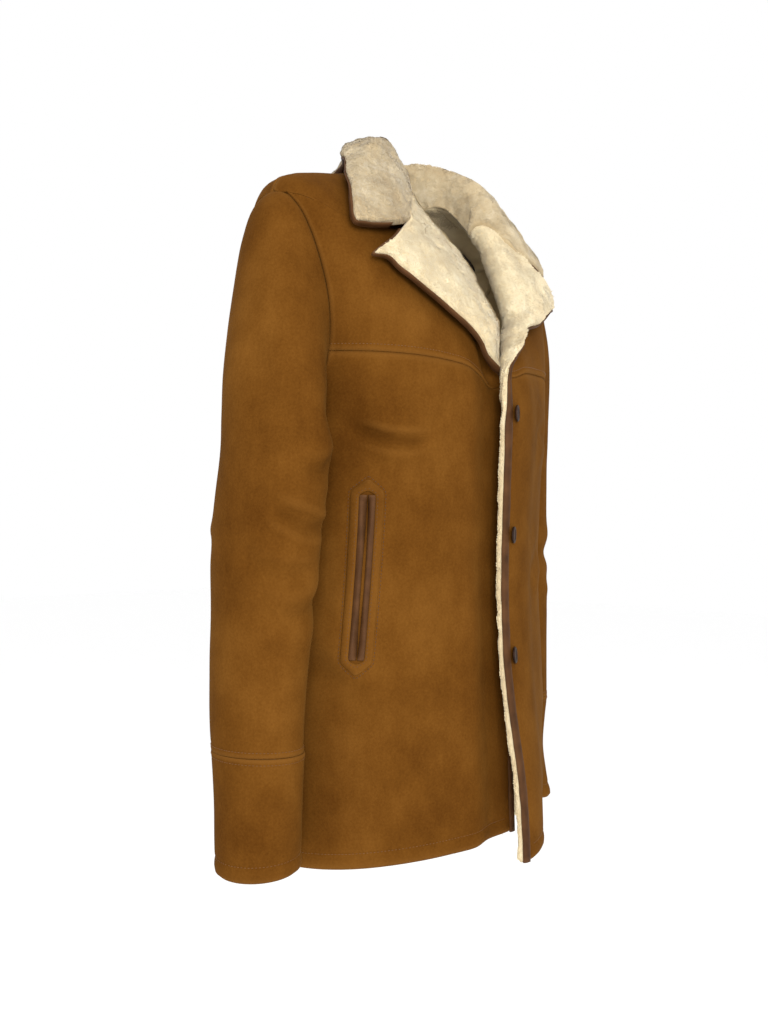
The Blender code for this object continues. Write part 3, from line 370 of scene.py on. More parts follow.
def lap(side, x, z):
    """How far a front stands off the form where it laps the other one, x to its own side."""
    if side == RIGHT:
        return -LAP_SINK * ease(-z, *SINK_DOWN) * (1 - ease(x, *SINK_OUT))
    corner = ease(-z, *FLARE_DOWN) * (1 - ease(x, *FLARE_OUT))
    return LAP_LIFT * ease(-z, *LIFT_DOWN) * (1 - ease(x, *LIFT_OUT)) + FLARE * corner


def body_point(side, angle, run, lift=0.0):
    """A point of the leather side, the angle being measured towards the piece's own side."""
    angle = side * np.asarray(angle, float)
    point = form(angle, run)
    normal = form_normal(angle, run)
    stand = lap(side, side * point[..., 0], point[..., 2]) * (np.abs(angle) < np.pi / 2)
    return point + normal * (stand + lift)[..., None], normal


# ---------------------------------------------------------------- the armhole


def armhole(turn):
    """Angle and run round the armhole: 0 at the shoulder, pi/2 in front, pi below."""
    s = np.sin(turn)
    reach = np.where(s > 0, ARMHOLE_FRONT, ARMHOLE_BACK)
    angle = np.pi / 2 - reach * np.sign(s) * np.abs(s) ** ARMHOLE_POWER
    run = SHOULDER_RUN + (ARMPIT_RUN - SHOULDER_RUN) * (1 - np.cos(turn)) / 2
    return angle, run


def yoke_turn():
    """The turn at which the front of the armhole is as low as the yoke seam."""
    turns = np.linspace(0.1, np.pi - 0.1, 400)
    heights = form(*armhole(turns))[:, 2]
    return float(np.interp(-YOKE_SIDE_Z, -heights, turns))


def armhole_turns():
    """The turns of every row that ends on the armhole, from the shoulder all round."""
    seam = yoke_turn()
    upper = np.linspace(0, seam, YOKE_ROWS + 1)
    lower = np.linspace(seam, np.pi, ARM_ROWS + 1)
    front = np.concatenate([upper, lower[1:]])
    return front, np.concatenate([front, 2 * np.pi - front[-2:0:-1]])


FRONT_TURNS, ALL_TURNS = armhole_turns()
NECK_RUNS = np.linspace(0, SHOULDER_RUN, NECK_ROWS + 1)
SIDE_RUNS = np.linspace(ARMPIT_RUN, HEM_RUN, SIDE_ROWS + 1)


def sleeve_lead(turn):
    """The direction in which the right sleeve leaves the armhole."""
    top, front = np.cos(turn), np.sin(turn)
    down = -CAP_DOWN + CAP_LEVEL * top
    return unit(np.stack([-np.ones_like(turn), -CAP_FORWARD * front, down], axis=-1))


def armhole_rim(side, turn):
    """Leather and fur points of the armhole's rim, where panel and sleeve share a mitre."""
    angle, run = armhole(turn)
    mirror = np.array([-side, 1.0, 1.0])
    outer = form(-angle, run)
    body_normal = form_normal(-angle, run)
    step = 1e-4
    ahead, behind = armhole(turn + step), armhole(turn - step)
    along = unit(form(-ahead[0], ahead[1]) - form(-behind[0], behind[1]))
    sleeve_normal = unit(np.cross(sleeve_lead(turn), along))
    radial = np.stack([np.zeros_like(turn), -np.sin(turn), np.cos(turn)], axis=-1)
    sleeve_normal = np.where(dot(sleeve_normal, radial) < 0, -1, 1) * sleeve_normal
    total = body_normal + sleeve_normal
    mitre = SLEEVE_SKIN * total / np.maximum(1 + dot(body_normal, sleeve_normal), MITRE_LIMIT)
    return outer * mirror, (outer - mitre) * mirror


def surface_normals(grid, like=None):
    """A grid's normals, turned to the side that like is on."""
    down = np.gradient(grid, axis=0)
    across = np.gradient(grid, axis=1)
    normal = unit(np.cross(down, across))
    if like is not None:
        normal = normal * np.where(dot(normal, like) < 0, -1, 1)
    return normal


# ---------------------------------------------------------------- the fronts

SEAM_ROW = 5.0  # where the roll tables meet the yoke seam
BREAK_ROW = 6.0
ROW_CURVE, SEAM_CURVE = 2.2, 5  # powers: how late a row turns down, and the yoke seam
EDGE_SKIN_FADE = (0.02, 0.08)  # x within which the skin is as thick as the edge's
LAPEL_LIFT, LAPEL_PUFF = 0.001, 0.004  # of a folded lapel over the front, and in its middle
ROLL_OUTWARD = 0.004  # added to each reach, so that the shortest also fold outwards
FOLDED_TURNS = (0.80, 1.0)  # a lapel turned this far starts to lie, and lies, on the front


def roll_columns(side, height):
    """The roll table's columns at these heights, 0 at the collarbone and 6 at the break."""
    table = RIGHT_ROLL if side == RIGHT else LEFT_ROLL
    rows = np.arange(len(table), dtype=float)
    return [smooth(rows, column(table, name), height) for name in Roll._fields[1:]]


def yoke_rows():
    """The side boundary of a yoke's rows, and each row's height in the roll tables."""
    angle, run = armhole(FRONT_TURNS[: YOKE_ROWS + 1])
    angle = np.concatenate([np.full(NECK_ROWS, np.pi / 2), angle])
    run = np.concatenate([NECK_RUNS[:-1], run])
    return angle, run, np.linspace(-1, SEAM_ROW, len(run))


def lower_rows():
    """The same for a lower front, whose rows go on down the side to the hem."""
    angle, run = armhole(FRONT_TURNS[YOKE_ROWS:])
    angle = np.concatenate([angle, np.full(SIDE_ROWS, np.pi / 2)])
    run = np.concatenate([run, SIDE_RUNS[1:]])
    height = np.minimum(np.linspace(SEAM_ROW, BREAK_ROW + 3, len(run)), BREAK_ROW)
    return angle, run, height


def edge_skin(side):
    """How thick a front is from its roll on."""
    return EDGE_SKIN if side == LEFT else LAPEL_SKIN


def front_grid(side, piece):
    """Leather and fur points of a front: body columns, then the roll, then the lapel."""
    side_angle, side_run, height = yoke_rows() if piece == "yoke" else lower_rows()
    roll_x, roll_z, reach_x, reach_z, turn = roll_columns(side, np.maximum(height, 0))
    if piece == "lower":
        free = np.flatnonzero(height >= BREAK_ROW)
        bottom = form(0.0, HEM_RUN)[2]
        roll_z[free] = np.linspace(roll_z[free[0]], bottom, len(free))
    roll_angle, roll_run = find_front(roll_x, roll_z)
    if piece == "lower":
        roll_run[-1] = HEM_RUN
    above = np.clip(-height, 0, 1)
    roll_angle = roll_angle + (NECK_ANGLE - roll_angle) * above
    roll_run = roll_run * (1 - above) + (LEFT_NECK_DROP * above if side == LEFT else 0)
    share = np.linspace(0, 1, FRONT_COLUMNS + 1)
    angle = side_angle[:, None] + (roll_angle - side_angle)[:, None] * share
    run = side_run[:, None] + (roll_run - side_run)[:, None] * share**ROW_CURVE
    side_z, roll_z = form(side_angle, side_run)[:, 2], form(roll_angle, roll_run)[:, 2]
    level = side_z[:, None] + (roll_z - side_z)[:, None] * share**SEAM_CURVE
    level_run = find_run(angle, level)
    run = run + (level_run - run) * seam_weight(piece, len(side_run))[:, None]
    outer, normal = body_point(side, angle, run)
    outer = outer - droop(side, outer, run)
    thick = SKIN + (edge_skin(side) - SKIN) * (1 - ease(side * outer[..., 0], *EDGE_SKIN_FADE))
    inner = outer - normal * thick[..., None]
    turns = FRONT_TURNS[: YOKE_ROWS + 1] if piece == "yoke" else FRONT_TURNS[YOKE_ROWS:]
    first = NECK_ROWS if piece == "yoke" else 0
    rim = armhole_rim(side, turns)
    outer[first : first + len(turns), 0] = rim[0]
    inner[first : first + len(turns), 0] = rim[1]
    paths = [lapel_path(roll_x[i], roll_z[i], reach_x[i], reach_z[i]) for i in range(len(turn))]
    if piece == "yoke":
        paths[0] = lapel_top_path(side, side * outer[0, -1, 0], outer[0, -1, 2])
        paths[1] = 0.5 * (paths[0] + paths[2])
        paths[1][:, 0] += side * outer[1, -1, 0] - paths[1][0, 0]
        paths[1][:, 1] += outer[1, -1, 2] - paths[1][0, 1]
    rolled = rolled_edge(side, outer[:, -1], normal[:, -1], np.array(paths), turn)
    if piece == "yoke":
        stand = neck_outward(outer[0])
        inner[0] = mitred(outer[0], normal[0], stand, SKIN)
    outer = np.concatenate([outer, rolled[0]], axis=1)
    inner = np.concatenate([inner, rolled[1]], axis=1)
    return outer, inner


def seam_weight(piece, rows):
    """1 on rows by the yoke seam, which is level, falling to 0 away from it."""
    row = np.arange(rows)
    if piece == "yoke":
        return ease(row, NECK_ROWS - 2, rows - 1)
    return 1 - ease(row, 0, rows - 4)


def droop(side, points, run):
    """The left front's hem hangs lower than the right one's, most of all near its corner."""
    if side == RIGHT:
        return 0.0
    x = points[..., 0]
    depth = HEM_DROOP * ease(x, *HEM_DROOP_X) + CORNER_DROOP * bell(x, *CORNER_DROOP_X)
    down = np.zeros_like(points)
    down[..., 2] = depth * ease(run, HEM_RUN - DROOP_RUN, HEM_RUN)
    return down


def neck_outward(points):
    """Which way the collar's stand faces at points of the neckline."""
    middle = np.array([0.0, BODY[0].middle_y, 0.0])
    return unit((points - middle) * np.array([1.0, 1.0, 0.0]))


def mitred(points, normal_a, normal_b, thick):
    """The inner points where two walls meet at these outer ones."""
    total = normal_a + normal_b
    return points - thick * total / np.maximum(1 + dot(normal_a, normal_b), MITRE_LIMIT)


def lapel_path(roll_x, roll_z, reach_x, reach_z):
    """x and z of a lapel's columns from the roll line to the free edge."""
    share = np.linspace(0, 1, LAPEL_COLUMNS + 1)
    return np.stack([roll_x + reach_x * share, roll_z + reach_z * share], axis=-1)


def lapel_top_path(side, x, z):
    """x and z along a lapel's top edge, from the neck by the notch to the tip."""
    top = RIGHT_LAPEL_TOP if side == RIGHT else LEFT_LAPEL_TOP
    marks = [0, NOTCH_COLUMN, LAPEL_COLUMNS]
    columns = np.arange(LAPEL_COLUMNS + 1)
    xs = np.interp(columns, marks, [x, top.notch_x, top.tip_x])
    zs = np.interp(columns, marks, [z, top.notch_z, top.tip_z])
    return np.stack([xs, zs], axis=-1)


def rolled_edge(side, start, normal, paths, turn):
    """The part of a front past its roll line. It turns through a share of a full fold."""
    thick = edge_skin(side)
    arc = np.pi * ROLL_RADIUS
    full = np.maximum(np.pi * turn, 1e-3)[:, None, None]
    n = normal[:, None, :]
    reach = paths[:, -1] - paths[:, 0]
    towards = np.stack(
        [side * (reach[:, 0] + ROLL_OUTWARD), np.zeros(len(turn)), reach[:, 1]], axis=-1
    )
    e = unit(towards - normal * dot(towards, normal))[:, None, :]
    a = full * (np.arange(1, ROLL_COLUMNS + 1) / ROLL_COLUMNS)[None, :, None]
    radius = arc / full
    bend = start[:, None, :] - e * radius * np.sin(a) + n * radius * (1 - np.cos(a))
    bend_inner = bend - (n * np.cos(a) + e * np.sin(a)) * thick
    share = (np.arange(1, LAPEL_COLUMNS + 1) / LAPEL_COLUMNS)[None, :, None]
    length = np.linalg.norm(reach, axis=-1)[:, None, None]
    ahead = -e * np.cos(full) + n * np.sin(full)
    straight = bend[:, -1:] + ahead * length * share
    straight_inner = straight - (n * np.cos(full) + e * np.sin(full)) * thick
    base, base_normal = body_point(side, *find_front(paths[:, 1:, 0], paths[:, 1:, 1]))
    lift = 2 * ROLL_RADIUS + LAPEL_LIFT + LAPEL_PUFF * np.sin(np.pi * share)
    laid = base + base_normal * lift
    laid_inner = base + base_normal * (lift + thick)
    folded = ease(turn, *FOLDED_TURNS)[:, None, None]
    flat = straight + (laid - straight) * folded
    flat_inner = straight_inner + (laid_inner - straight_inner) * folded
    return np.concatenate([bend, flat], axis=1), np.concatenate([bend_inner, flat_inner], axis=1)


# ---------------------------------------------------------------- the back


def back_grid():
    """Leather and fur points of the back, from the left side round to the right one."""
    angle, run = armhole(2 * np.pi - FRONT_TURNS)
    angle = np.concatenate([np.full(NECK_ROWS, np.pi / 2), angle, np.full(SIDE_ROWS, np.pi / 2)])
    run = np.concatenate([NECK_RUNS[:-1], run, SIDE_RUNS[1:]])
    share = np.linspace(0, 1, BACK_COLUMNS + 1)
    angle = angle[:, None] + (2 * np.pi - 2 * angle)[:, None] * share
    run = np.repeat(run[:, None], BACK_COLUMNS + 1, axis=1)
    outer, normal = form(angle, run), form_normal(angle, run)
    inner = outer - normal * SKIN
    rows = slice(NECK_ROWS, NECK_ROWS + len(FRONT_TURNS))
    for side, edge in ((LEFT, 0), (RIGHT, -1)):
        outer[rows, edge], inner[rows, edge] = armhole_rim(side, 2 * np.pi - FRONT_TURNS)
    inner[0] = mitred(outer[0], normal[0], neck_outward(outer[0]), SKIN)
    return outer, inner


# ---------------------------------------------------------------- the sleeves


def sleeve_table(side):
    """The rings of one sleeve."""
    return RIGHT_SLEEVE if side == RIGHT else LEFT_SLEEVE


def sleeve_ring(side, z, turns):
    """A ring of the sleeve's leather side below the armpit."""
    x, y, across, deep, tilt = read(sleeve_table(side), "z", z)
    out, front = np.cos(turns), np.sin(turns)
    return np.stack(
        [side * (x + across * out), y - deep * front, z - tilt * across * out], axis=-1
    )


def sleeve_grid(side):
    """Leather and fur points of a sleeve, from the armhole's rim down to the cuff's seam."""
    turns = ALL_TURNS
    start, start_inner = armhole_rim(side, turns)
    top = sleeve_table(side)[0].z
    finish = sleeve_ring(side, np.full(len(turns), top), turns)
    lead = sleeve_lead(turns) * np.array([-side, 1.0, 1.0])
    upper = ((1 + np.cos(turns)) / 2)[:, None]
    leave = lead * (CAP_LEAD_UNDER + (CAP_LEAD_TOP - CAP_LEAD_UNDER) * upper)
    arrive = np.array([0, 0, -1.0]) * (CAP_DROP_UNDER + (CAP_DROP_TOP - CAP_DROP_UNDER) * upper)
    shares = np.linspace(0, 1, CAP_ROWS + 1)
    rings = [hermite(t, start, leave, finish, arrive) for t in shares]
    for z in np.linspace(top, CUFF_SEAM_Z + SEAM_GAP, ARM_RINGS + 1)[1:]:
        rings.append(sleeve_ring(side, np.full(len(turns), z), turns))
    outer = np.array(rings)
    inner = outer - ring_normals(outer) * SLEEVE_SKIN
    inner[0] = start_inner
    inner[-1, :, 2] = outer[-1, :, 2]
    for grid in (outer, inner):
        grid[0] += unit(grid[1] - grid[0]) * SEAM_GAP
    return outer, inner


def cuff_grid(side):
    """Leather and fur points of a cuff panel."""
    heights = np.linspace(CUFF_SEAM_Z, sleeve_table(side)[-1].z, CUFF_RINGS + 1)
    outer = np.array([sleeve_ring(side, np.full(len(ALL_TURNS), z), ALL_TURNS) for z in heights])
    inner = outer - ring_normals(outer) * SLEEVE_SKIN
    inner[0, :, 2] = outer[0, :, 2]
    return outer, inner


def ring_normals(grid):
    """Outward normals of a tube's rings."""
    down = np.gradient(grid, axis=0)
    across = np.roll(grid, -1, axis=1) - np.roll(grid, 1, axis=1)
    normal = unit(np.cross(down, across))
    centre = grid.mean(axis=1, keepdims=True)
    return normal * np.where(dot(normal, grid - centre).mean() < 0, -1, 1)


# ---------------------------------------------------------------- the collar


def collar_grid(yokes, back):
    """Fur and leather points of the collar, from the right notch round to the left one."""
    last = FRONT_COLUMNS + ROLL_COLUMNS + NOTCH_COLUMN + 1
    right_leather, right_fur = (grid[0, :last] for grid in yokes[RIGHT])
    left_leather, left_fur = (grid[0, :last] for grid in yokes[LEFT])
    back_leather, back_fur = (grid[0] for grid in back)
    seam_leather = np.concatenate([right_leather[::-1], back_leather[::-1][1:-1], left_leather])
    seam_fur = np.concatenate([right_fur[::-1], back_fur[::-1][1:-1], left_fur])
    length = lengths(seam_fur)
    middle = length[len(seam_fur) // 2]
    along = (length - middle) / (length[-1] / 2)
    share, side = np.abs(along), np.sign(along)
    fold_x, fold_y, fold_z, edge_x, edge_y, edge_z, higher, tuck = read(COLLAR, "share", share)
    fold = np.stack([side * fold_x, fold_y, fold_z + side * higher], axis=-1)
    spread = np.where(side < 0, *COLLAR_SPREAD) * ease(share, *SPREAD_SHARES)
    tuck = np.where(side < 0, tuck, 0)
    in_x, in_y = (weight * tuck for weight in TUCK_WAY)
    edge = np.stack([side * (edge_x + spread - in_x), edge_y - in_y, edge_z], axis=-1)
    draw = RIGHT_FOLD_BACK * bell(share, *FOLD_BACK_SHARES)
    fold[:, 1] += np.where(side < 0, draw, 0)
    for line in (fold, edge):
        line[:, 1] += set_back(line[:, 0])
    corner = 2 * fold - (seam_fur + edge) / 2
    t = np.linspace(0, 1, FALL_ROWS + 1)[:, None, None]
    fur = seam_fur * (1 - t) ** 2 + corner * 2 * t * (1 - t) + edge * t**2
    normal = surface_normals(fur)
    normal = normal * np.where(normal[FALL_ROWS // 2 + 2, len(share) // 2, 1] < 0, -1, 1)
    for _ in range(4):
        inside = normal[:, :-2] + 2 * normal[:, 1:-1] + normal[:, 2:]
        normal = unit(np.concatenate([normal[:, :1], inside, normal[:, -1:]], axis=1))
    thick = SKIN + (COLLAR_SKIN - SKIN) * t
    leather = fur - normal * thick * (1 - TUCK_THINNING * tuck)[None, :, None]
    leather[0] = seam_leather
    return fur, leather


# ---------------------------------------------------------------- bindings

STRAIGHT_ENOUGH = 0.995  # a line's span over its length, where it doesn't bend


def beside(leather, fur, distance):
    """Leather and fur points this far in from the last column, or less far where it bends."""
    found = []
    distances = np.broadcast_to(distance, len(leather))
    for outer, inner, distance in zip(leather[:, ::-1], fur[:, ::-1], distances):
        length = lengths(outer)
        for share in (1.0, 0.8, 0.6, 0.4, 0.3):
            pair = [along_line(line, length, distance * share) for line in (outer, inner)]
            if np.linalg.norm(pair[0] - outer[0]) > STRAIGHT_ENOUGH * distance * share:
                break
        found.append(pair)
    return np.moveaxis(np.array(found), 1, 0)


# ---------------------------------------------------------------- the looks' own sizes

CLOTH_STEP = 0.0034  # between points on the leather
BACK_STEP = 0.0042
YOKE_STEP = 0.0030
CUFF_STEP = 0.0028
BINDING_STEP = 0.003
BINDING_SCALE = 0.012  # from lump to lump along a binding
LINING_STEP = 0.008
FUR_STEP = 0.0026  # on the pieces whose fur shows
FUR_SINK = 0.0008  # the fur's ground below the tips
LUMPS = ((0.0013, 0.013), (0.0009, 0.006))  # how high and how wide the fur's lumps are
LUMP_BEND, LUMP_BEND_SCALE = 0.004, 0.02  # how far they are bent out of line
TUFTS_PER_MM2 = 0.78  # where the fur shows most
TUFT_LENGTH = 0.0036
TUFT_WIDTH = 0.0010
TUFT_ROOT = 0.0004  # how deep a lock starts under the fur's ground
# A lock's length as shares, and its height in metres: the fixed part, that by chance, that
# in patches, and the patches' scale in metres.
TUFT_LONG, TUFT_RISE = (0.9, 0.3, 0.2, 0.011), (0.0004, 0.0003, 0.0001, 0.007)
TUFT_BEND, TUFT_END = 0.45, 0.95  # shares of the length
TUFT_FACES = ((0, 3, 1), (0, 2, 3), (2, 4, 3))  # of its two low, two middle and end points
TUFT_HEIGHTS = (0.0, 0.0, 0.6, 0.6, 1.0)  # of those points, for the fur's colour and the painted shade at its roots
COMBED, SWIRLED, RUFFLED = 0.45, 0.9, 0.30  # what turns the locks: the edge, curls, chance
SWIRL_SCALE = 0.012
EDGE_TRIM = 0.25  # share of their length that the locks keep at an edge
EDGE_TRIM_REACH = (0.001, 0.010)  # how far in from it they grow to their whole length
EDGE_TAPER = 0.32  # a turned edge is thinner by this share
EDGE_SWELL = 0.0050  # the fur past the straight edge's leather
FUR_ROUND = 0.005  # radius of the fur's edge over a binding
FRONT_FUR_ROUND = 0.004
SEAM_ROUND = 0.0008
RIM_SHARES = (0.3, 0.6)  # of a wall's thickness, where the strips of its rim meet
RIM_MARKS = (0.3, 0.65, 1.0)  # shares of the fur's own way over the rim
RIM_TURN = 0.4  # how much its normals already point outwards at the start of it
FRONT_RIM, COLLAR_RIM = 0.5, 0.45  # how far over the rim the locks reach
SEW_WIDE = 0.0016  # of the groove that stitches pull in
STITCH_LENGTH, STITCH_PITCH, STITCH_WIDTH = 0.0026, 0.0036, 0.0006
# A stitch's four rings: place along it, width and lift, as shares of its own sizes.
STITCH_RINGS = ((-0.5, 0.5, -0.35), (-0.2, 1.0, 0.35), (0.2, 1.0, 0.35), (0.5, 0.5, -0.35))
HEM_STITCH = 0.016  # above a hem
BODY_STITCH, CUFF_STITCH = 0.0068, 0.0055  # from a seam
YOKE_GROOVE = 0.0058  # the groove by the yoke seam
SEAM_DEEP, HEM_DEEP = 0.0004, 0.0009  # how far stitches pull the leather in
HEM_HIGH, CUFF_HEM_HIGH = 0.0008, 0.0009  # of the turned hem's ridge
HEM_SWELL = (0.008, 0.005)  # how far up it lies, and how wide it is
HEM_ROUND, HEM_FUR_ROUND = 0.003, 0.004
HEM_FUR_START = (0.005, 0.008)  # the tufts start this far up inside a hem
HEM_FUR_END, CUFF_FUR_END = (0.014, 0.024), (0.016, 0.028)  # and end this far up
NECK_FUR_END = (0.004, 0.012)  # and this far under the lining's top
YOKE_FUR_START, COLLAR_FUR_START = (0.002, 0.005), (0.0, 0.004)  # under their top edges
LUMPS_START = (0.002, 0.010)  # where the fur's lumps start below a front's top edge
HIDDEN_LUMPS = 0.6  # share of their height where the fur faces in
NECK_SINK = 0.3  # share of FUR_SINK at the collar's seam
# How unevenly the pieces hang, in metres, and the seeds of that and of their fur's lumps.
BODY_LUMPS, SLEEVE_LUMPS, CUFF_LUMPS, BINDING_LUMPS = 0.0013, 0.0015, 0.0010, 0.0003
HANG_SCALES, HANG_SMALL = (0.10, 0.045), 0.45  # of the lumps, and the small ones' share
HANG_SEEDS = {"front": 11, "back": 17, "sleeve": 23, "cuff": 29, "binding": 21}
FUR_SEEDS = {"front": 40, "back": 47, "cuff": 53, "collar": 61}
SIDE_SHARE = 0.25  # the side and shoulder seams' height, the armhole's being 1
SEAM_CREST = 0.45  # how far from the edge a seam is highest, as a share of its width
# Seams as height and width. One with a height below 0 is a furrow.
YOKE_SEAM, YOKE_UNDER_SEAM = (0.0009, 0.0030), (-0.0006, 0.0026)
FRONT_SEAM, BACK_SEAM = (0.0012, 0.0036), (0.0011, 0.0036)
CAP_SEAM, ARM_SEAM, CUFF_SEAM = (-0.0005, 0.0035), (0.0011, 0.0024), (0.0006, 0.0024)
SEED = 7  # of the locks' places

# Creases: the piece's part, two ends as (a, z), how wide and how deep in metres. a is x on
# the body, and the way round the arm on a sleeve, in degrees from its outer side forwards.
Crease = namedtuple("Crease", "part a1 z1 a2 z2 wide deep")
CREASES = (
    Crease("front_right", -0.172, -0.284, -0.110, -0.292, 0.0070, 0.0060),
    Crease("front_right", -0.140, -0.262, -0.090, -0.268, 0.012, 0.0020),
    Crease("front_right", -0.196, -0.470, -0.172, -0.545, 0.010, 0.0055),
    Crease("front_right", -0.150, -0.560, -0.085, -0.640, 0.020, 0.0030),
    Crease("front_right", -0.060, -0.330, -0.045, -0.430, 0.022, 0.0025),
    Crease("front_right", -0.175, -0.245, -0.150, -0.330, 0.016, 0.0040),
    Crease("front_left", 0.120, -0.268, 0.072, -0.280, 0.012, 0.0038),
    Crease("front_left", 0.112, -0.400, 0.058, -0.446, 0.014, 0.0036),
    Crease("front_left", 0.150, -0.590, 0.090, -0.655, 0.019, 0.0028),
    Crease("front_left", 0.176, -0.240, 0.150, -0.318, 0.016, 0.0040),
    Crease("back", -0.150, -0.395, -0.040, -0.425, 0.013, 0.0075),
    Crease("back", 0.155, -0.410, 0.050, -0.432, 0.012, 0.0070),
    Crease("back", -0.090, -0.455, 0.070, -0.462, 0.016, 0.0060),
    Crease("back", -0.172, -0.215, -0.135, -0.330, 0.014, 0.0070),
    Crease("back", 0.172, -0.220, 0.138, -0.318, 0.014, 0.0070),
    Crease("back", -0.060, -0.560, -0.085, -0.690, 0.022, 0.0050),
    Crease("back", 0.095, -0.575, 0.075, -0.700, 0.020, 0.0048),
    Crease("sleeve_right", 48.0, -0.362, 118.0, -0.382, 0.008, 0.0065),
    Crease("sleeve_right", 20.0, -0.412, 100.0, -0.425, 0.010, 0.0042),
    Crease("sleeve_right", 60.0, -0.470, 130.0, -0.445, 0.012, 0.0040),
    Crease("sleeve_right", 100.0, -0.250, 150.0, -0.300, 0.014, 0.0045),
    Crease("sleeve_right", -120.0, -0.390, -60.0, -0.405, 0.011, 0.0052),
    Crease("sleeve_right", 20.0, -0.180, 60.0, -0.300, 0.022, 0.0025),
    Crease("sleeve_right", 75.0, -0.330, 120.0, -0.318, 0.010, 0.0040),
    Crease("sleeve_left", 30.0, -0.395, 100.0, -0.420, 0.013, 0.0034),
    Crease("sleeve_left", 0.0, -0.440, 75.0, -0.450, 0.012, 0.0026),
    Crease("sleeve_left", 70.0, -0.480, 125.0, -0.455, 0.012, 0.0036),
    Crease("sleeve_left", 105.0, -0.245, 150.0, -0.305, 0.014, 0.0045),
    Crease("sleeve_left", -125.0, -0.380, -65.0, -0.400, 0.011, 0.0054),
)

ARM_DEGREE = np.radians(1.0) * 0.05  # metres round the arm for each degree
CREASE_BANKS = ((-1.0, 0.0), (0.55, 1.7), (0.30, -1.8))  # each one's height and place
CREASE_BOW = 0.09  # share of its length
CREASE_WANDER, CREASE_WANDER_SCALE = 0.25, 0.03  # share of its width, and metres
CREASE_FADE = 2.1  # how soon it fades towards its ends

# Each piece's cut as a flat size, and its area where it isn't a rectangle, in metres.
Cut = namedtuple("Cut", "piece width length area")


# ---------------------------------------------------------------- lining


def lining_grid(back):
    """Two faces just inside the back's fur side, all but its edges."""
    down = np.cumsum(np.linalg.norm(np.diff(back[1][:, 2], axis=0), axis=-1))
    first = 1 + np.searchsorted(down, LINING_DROP)
    leather, fur = (grid[first:-1, 2:-2] for grid in back)
    inward = unit(fur - leather)
    return fur + inward * LINING_GAP, fur + inward * (LINING_GAP + LINING_THICK)


# ---------------------------------------------------------------- finer faces


def resampled(lines, counts):
    """Points along the first axis, smooth through the given ones, counts[i] in segment i."""
    step = np.diff(lines, axis=0)
    long = np.maximum(np.linalg.norm(step, axis=-1, keepdims=True), 1e-5)
    slope = step / long
    inner = (slope[:-1] * long[1:] + slope[1:] * long[:-1]) / (long[:-1] + long[1:])
    tangent = np.concatenate([2 * slope[:1] - inner[:1], inner, 2 * slope[-1:] - inner[-1:]])
    rows = []
    for i, count in enumerate(counts):
        leave, arrive = tangent[i] * long[i], tangent[i + 1] * long[i]
        for t in np.arange(count) / count:
            rows.append(hermite(t, lines[i], leave, lines[i + 1], arrive))
    return np.array([*rows, lines[-1]])


def counts_for(grid, spacing):
    """How many parts each segment down the grid takes."""
    length = np.linalg.norm(np.diff(grid, axis=0), axis=-1).mean(axis=1)
    return np.maximum(np.ceil(length / spacing), 1).astype(int)


def places(counts):
    """The coarse row that each fine row stands at."""
    rows = [i + np.arange(count) / count for i, count in enumerate(counts)]
    return np.concatenate([*rows, [len(counts)]])


def finer(grids, spacing, ring=False):
    """The same faces with their points about this far apart, and the coarse places of them."""
    down = counts_for(grids[0], spacing)
    if ring:
        grids = [np.concatenate([g[:, -3:], g, g[:, :4]], axis=1) for g in grids]
    across = counts_for(*flipped(grids[:1]), spacing)
    wide = flipped(resampled(grid, down) for grid in grids)
    found = flipped(resampled(grid, across) for grid in wide)
    cols = places(across)
    if ring:
        keep = (cols >= 3) & (cols < cols[-1] - 3)
        found = [grid[:, keep] for grid in found]
        cols = cols[keep] - 3
    return found, places(down), cols


NOISE_SHIFT = 31.7  # how far each seed moves the lumps, in cells
NOISE_PRIMES, NOISE_FACTOR = (374761393, 668265263, 974634777), 1274126177
NOISE_BITS, NOISE_TOP = 0x7FFFFFFF, 0xFFFF


def noise(points, scale, seed):
    """Smooth random numbers from -1 to 1, one lump every scale metres."""
    p = np.asarray(points) / scale + NOISE_SHIFT * seed
    cell = np.floor(p).astype(np.int64)
    t = p - cell
    t = t * t * (3 - 2 * t)
    total = np.zeros(p.shape[:-1])
    for corner in np.ndindex(2, 2, 2):
        c = cell + corner
        code = sum(c[..., k] * prime for k, prime in enumerate(NOISE_PRIMES)) & NOISE_BITS
        code = ((code ^ (code >> 13)) * NOISE_FACTOR) & NOISE_BITS
        value = ((code ^ (code >> 16)) & NOISE_TOP) / (NOISE_TOP / 2) - 1
        share = np.prod(np.where(np.array(corner) == 1, t, 1 - t), axis=-1)
        total += value * share
    return total


def fur_lumps(points, seed):
    """How the fur's ground rises and falls, in metres: large lumps and small ones, bent."""
    bent = np.stack([noise(points, LUMP_BEND_SCALE, seed + k) for k in (5, 6, 7)], axis=-1)
    bent = points + LUMP_BEND * bent
    return sum(high * noise(bent, wide, seed + k) for k, (high, wide) in enumerate(LUMPS))


# ---------------------------------------------------------------- sewn walls


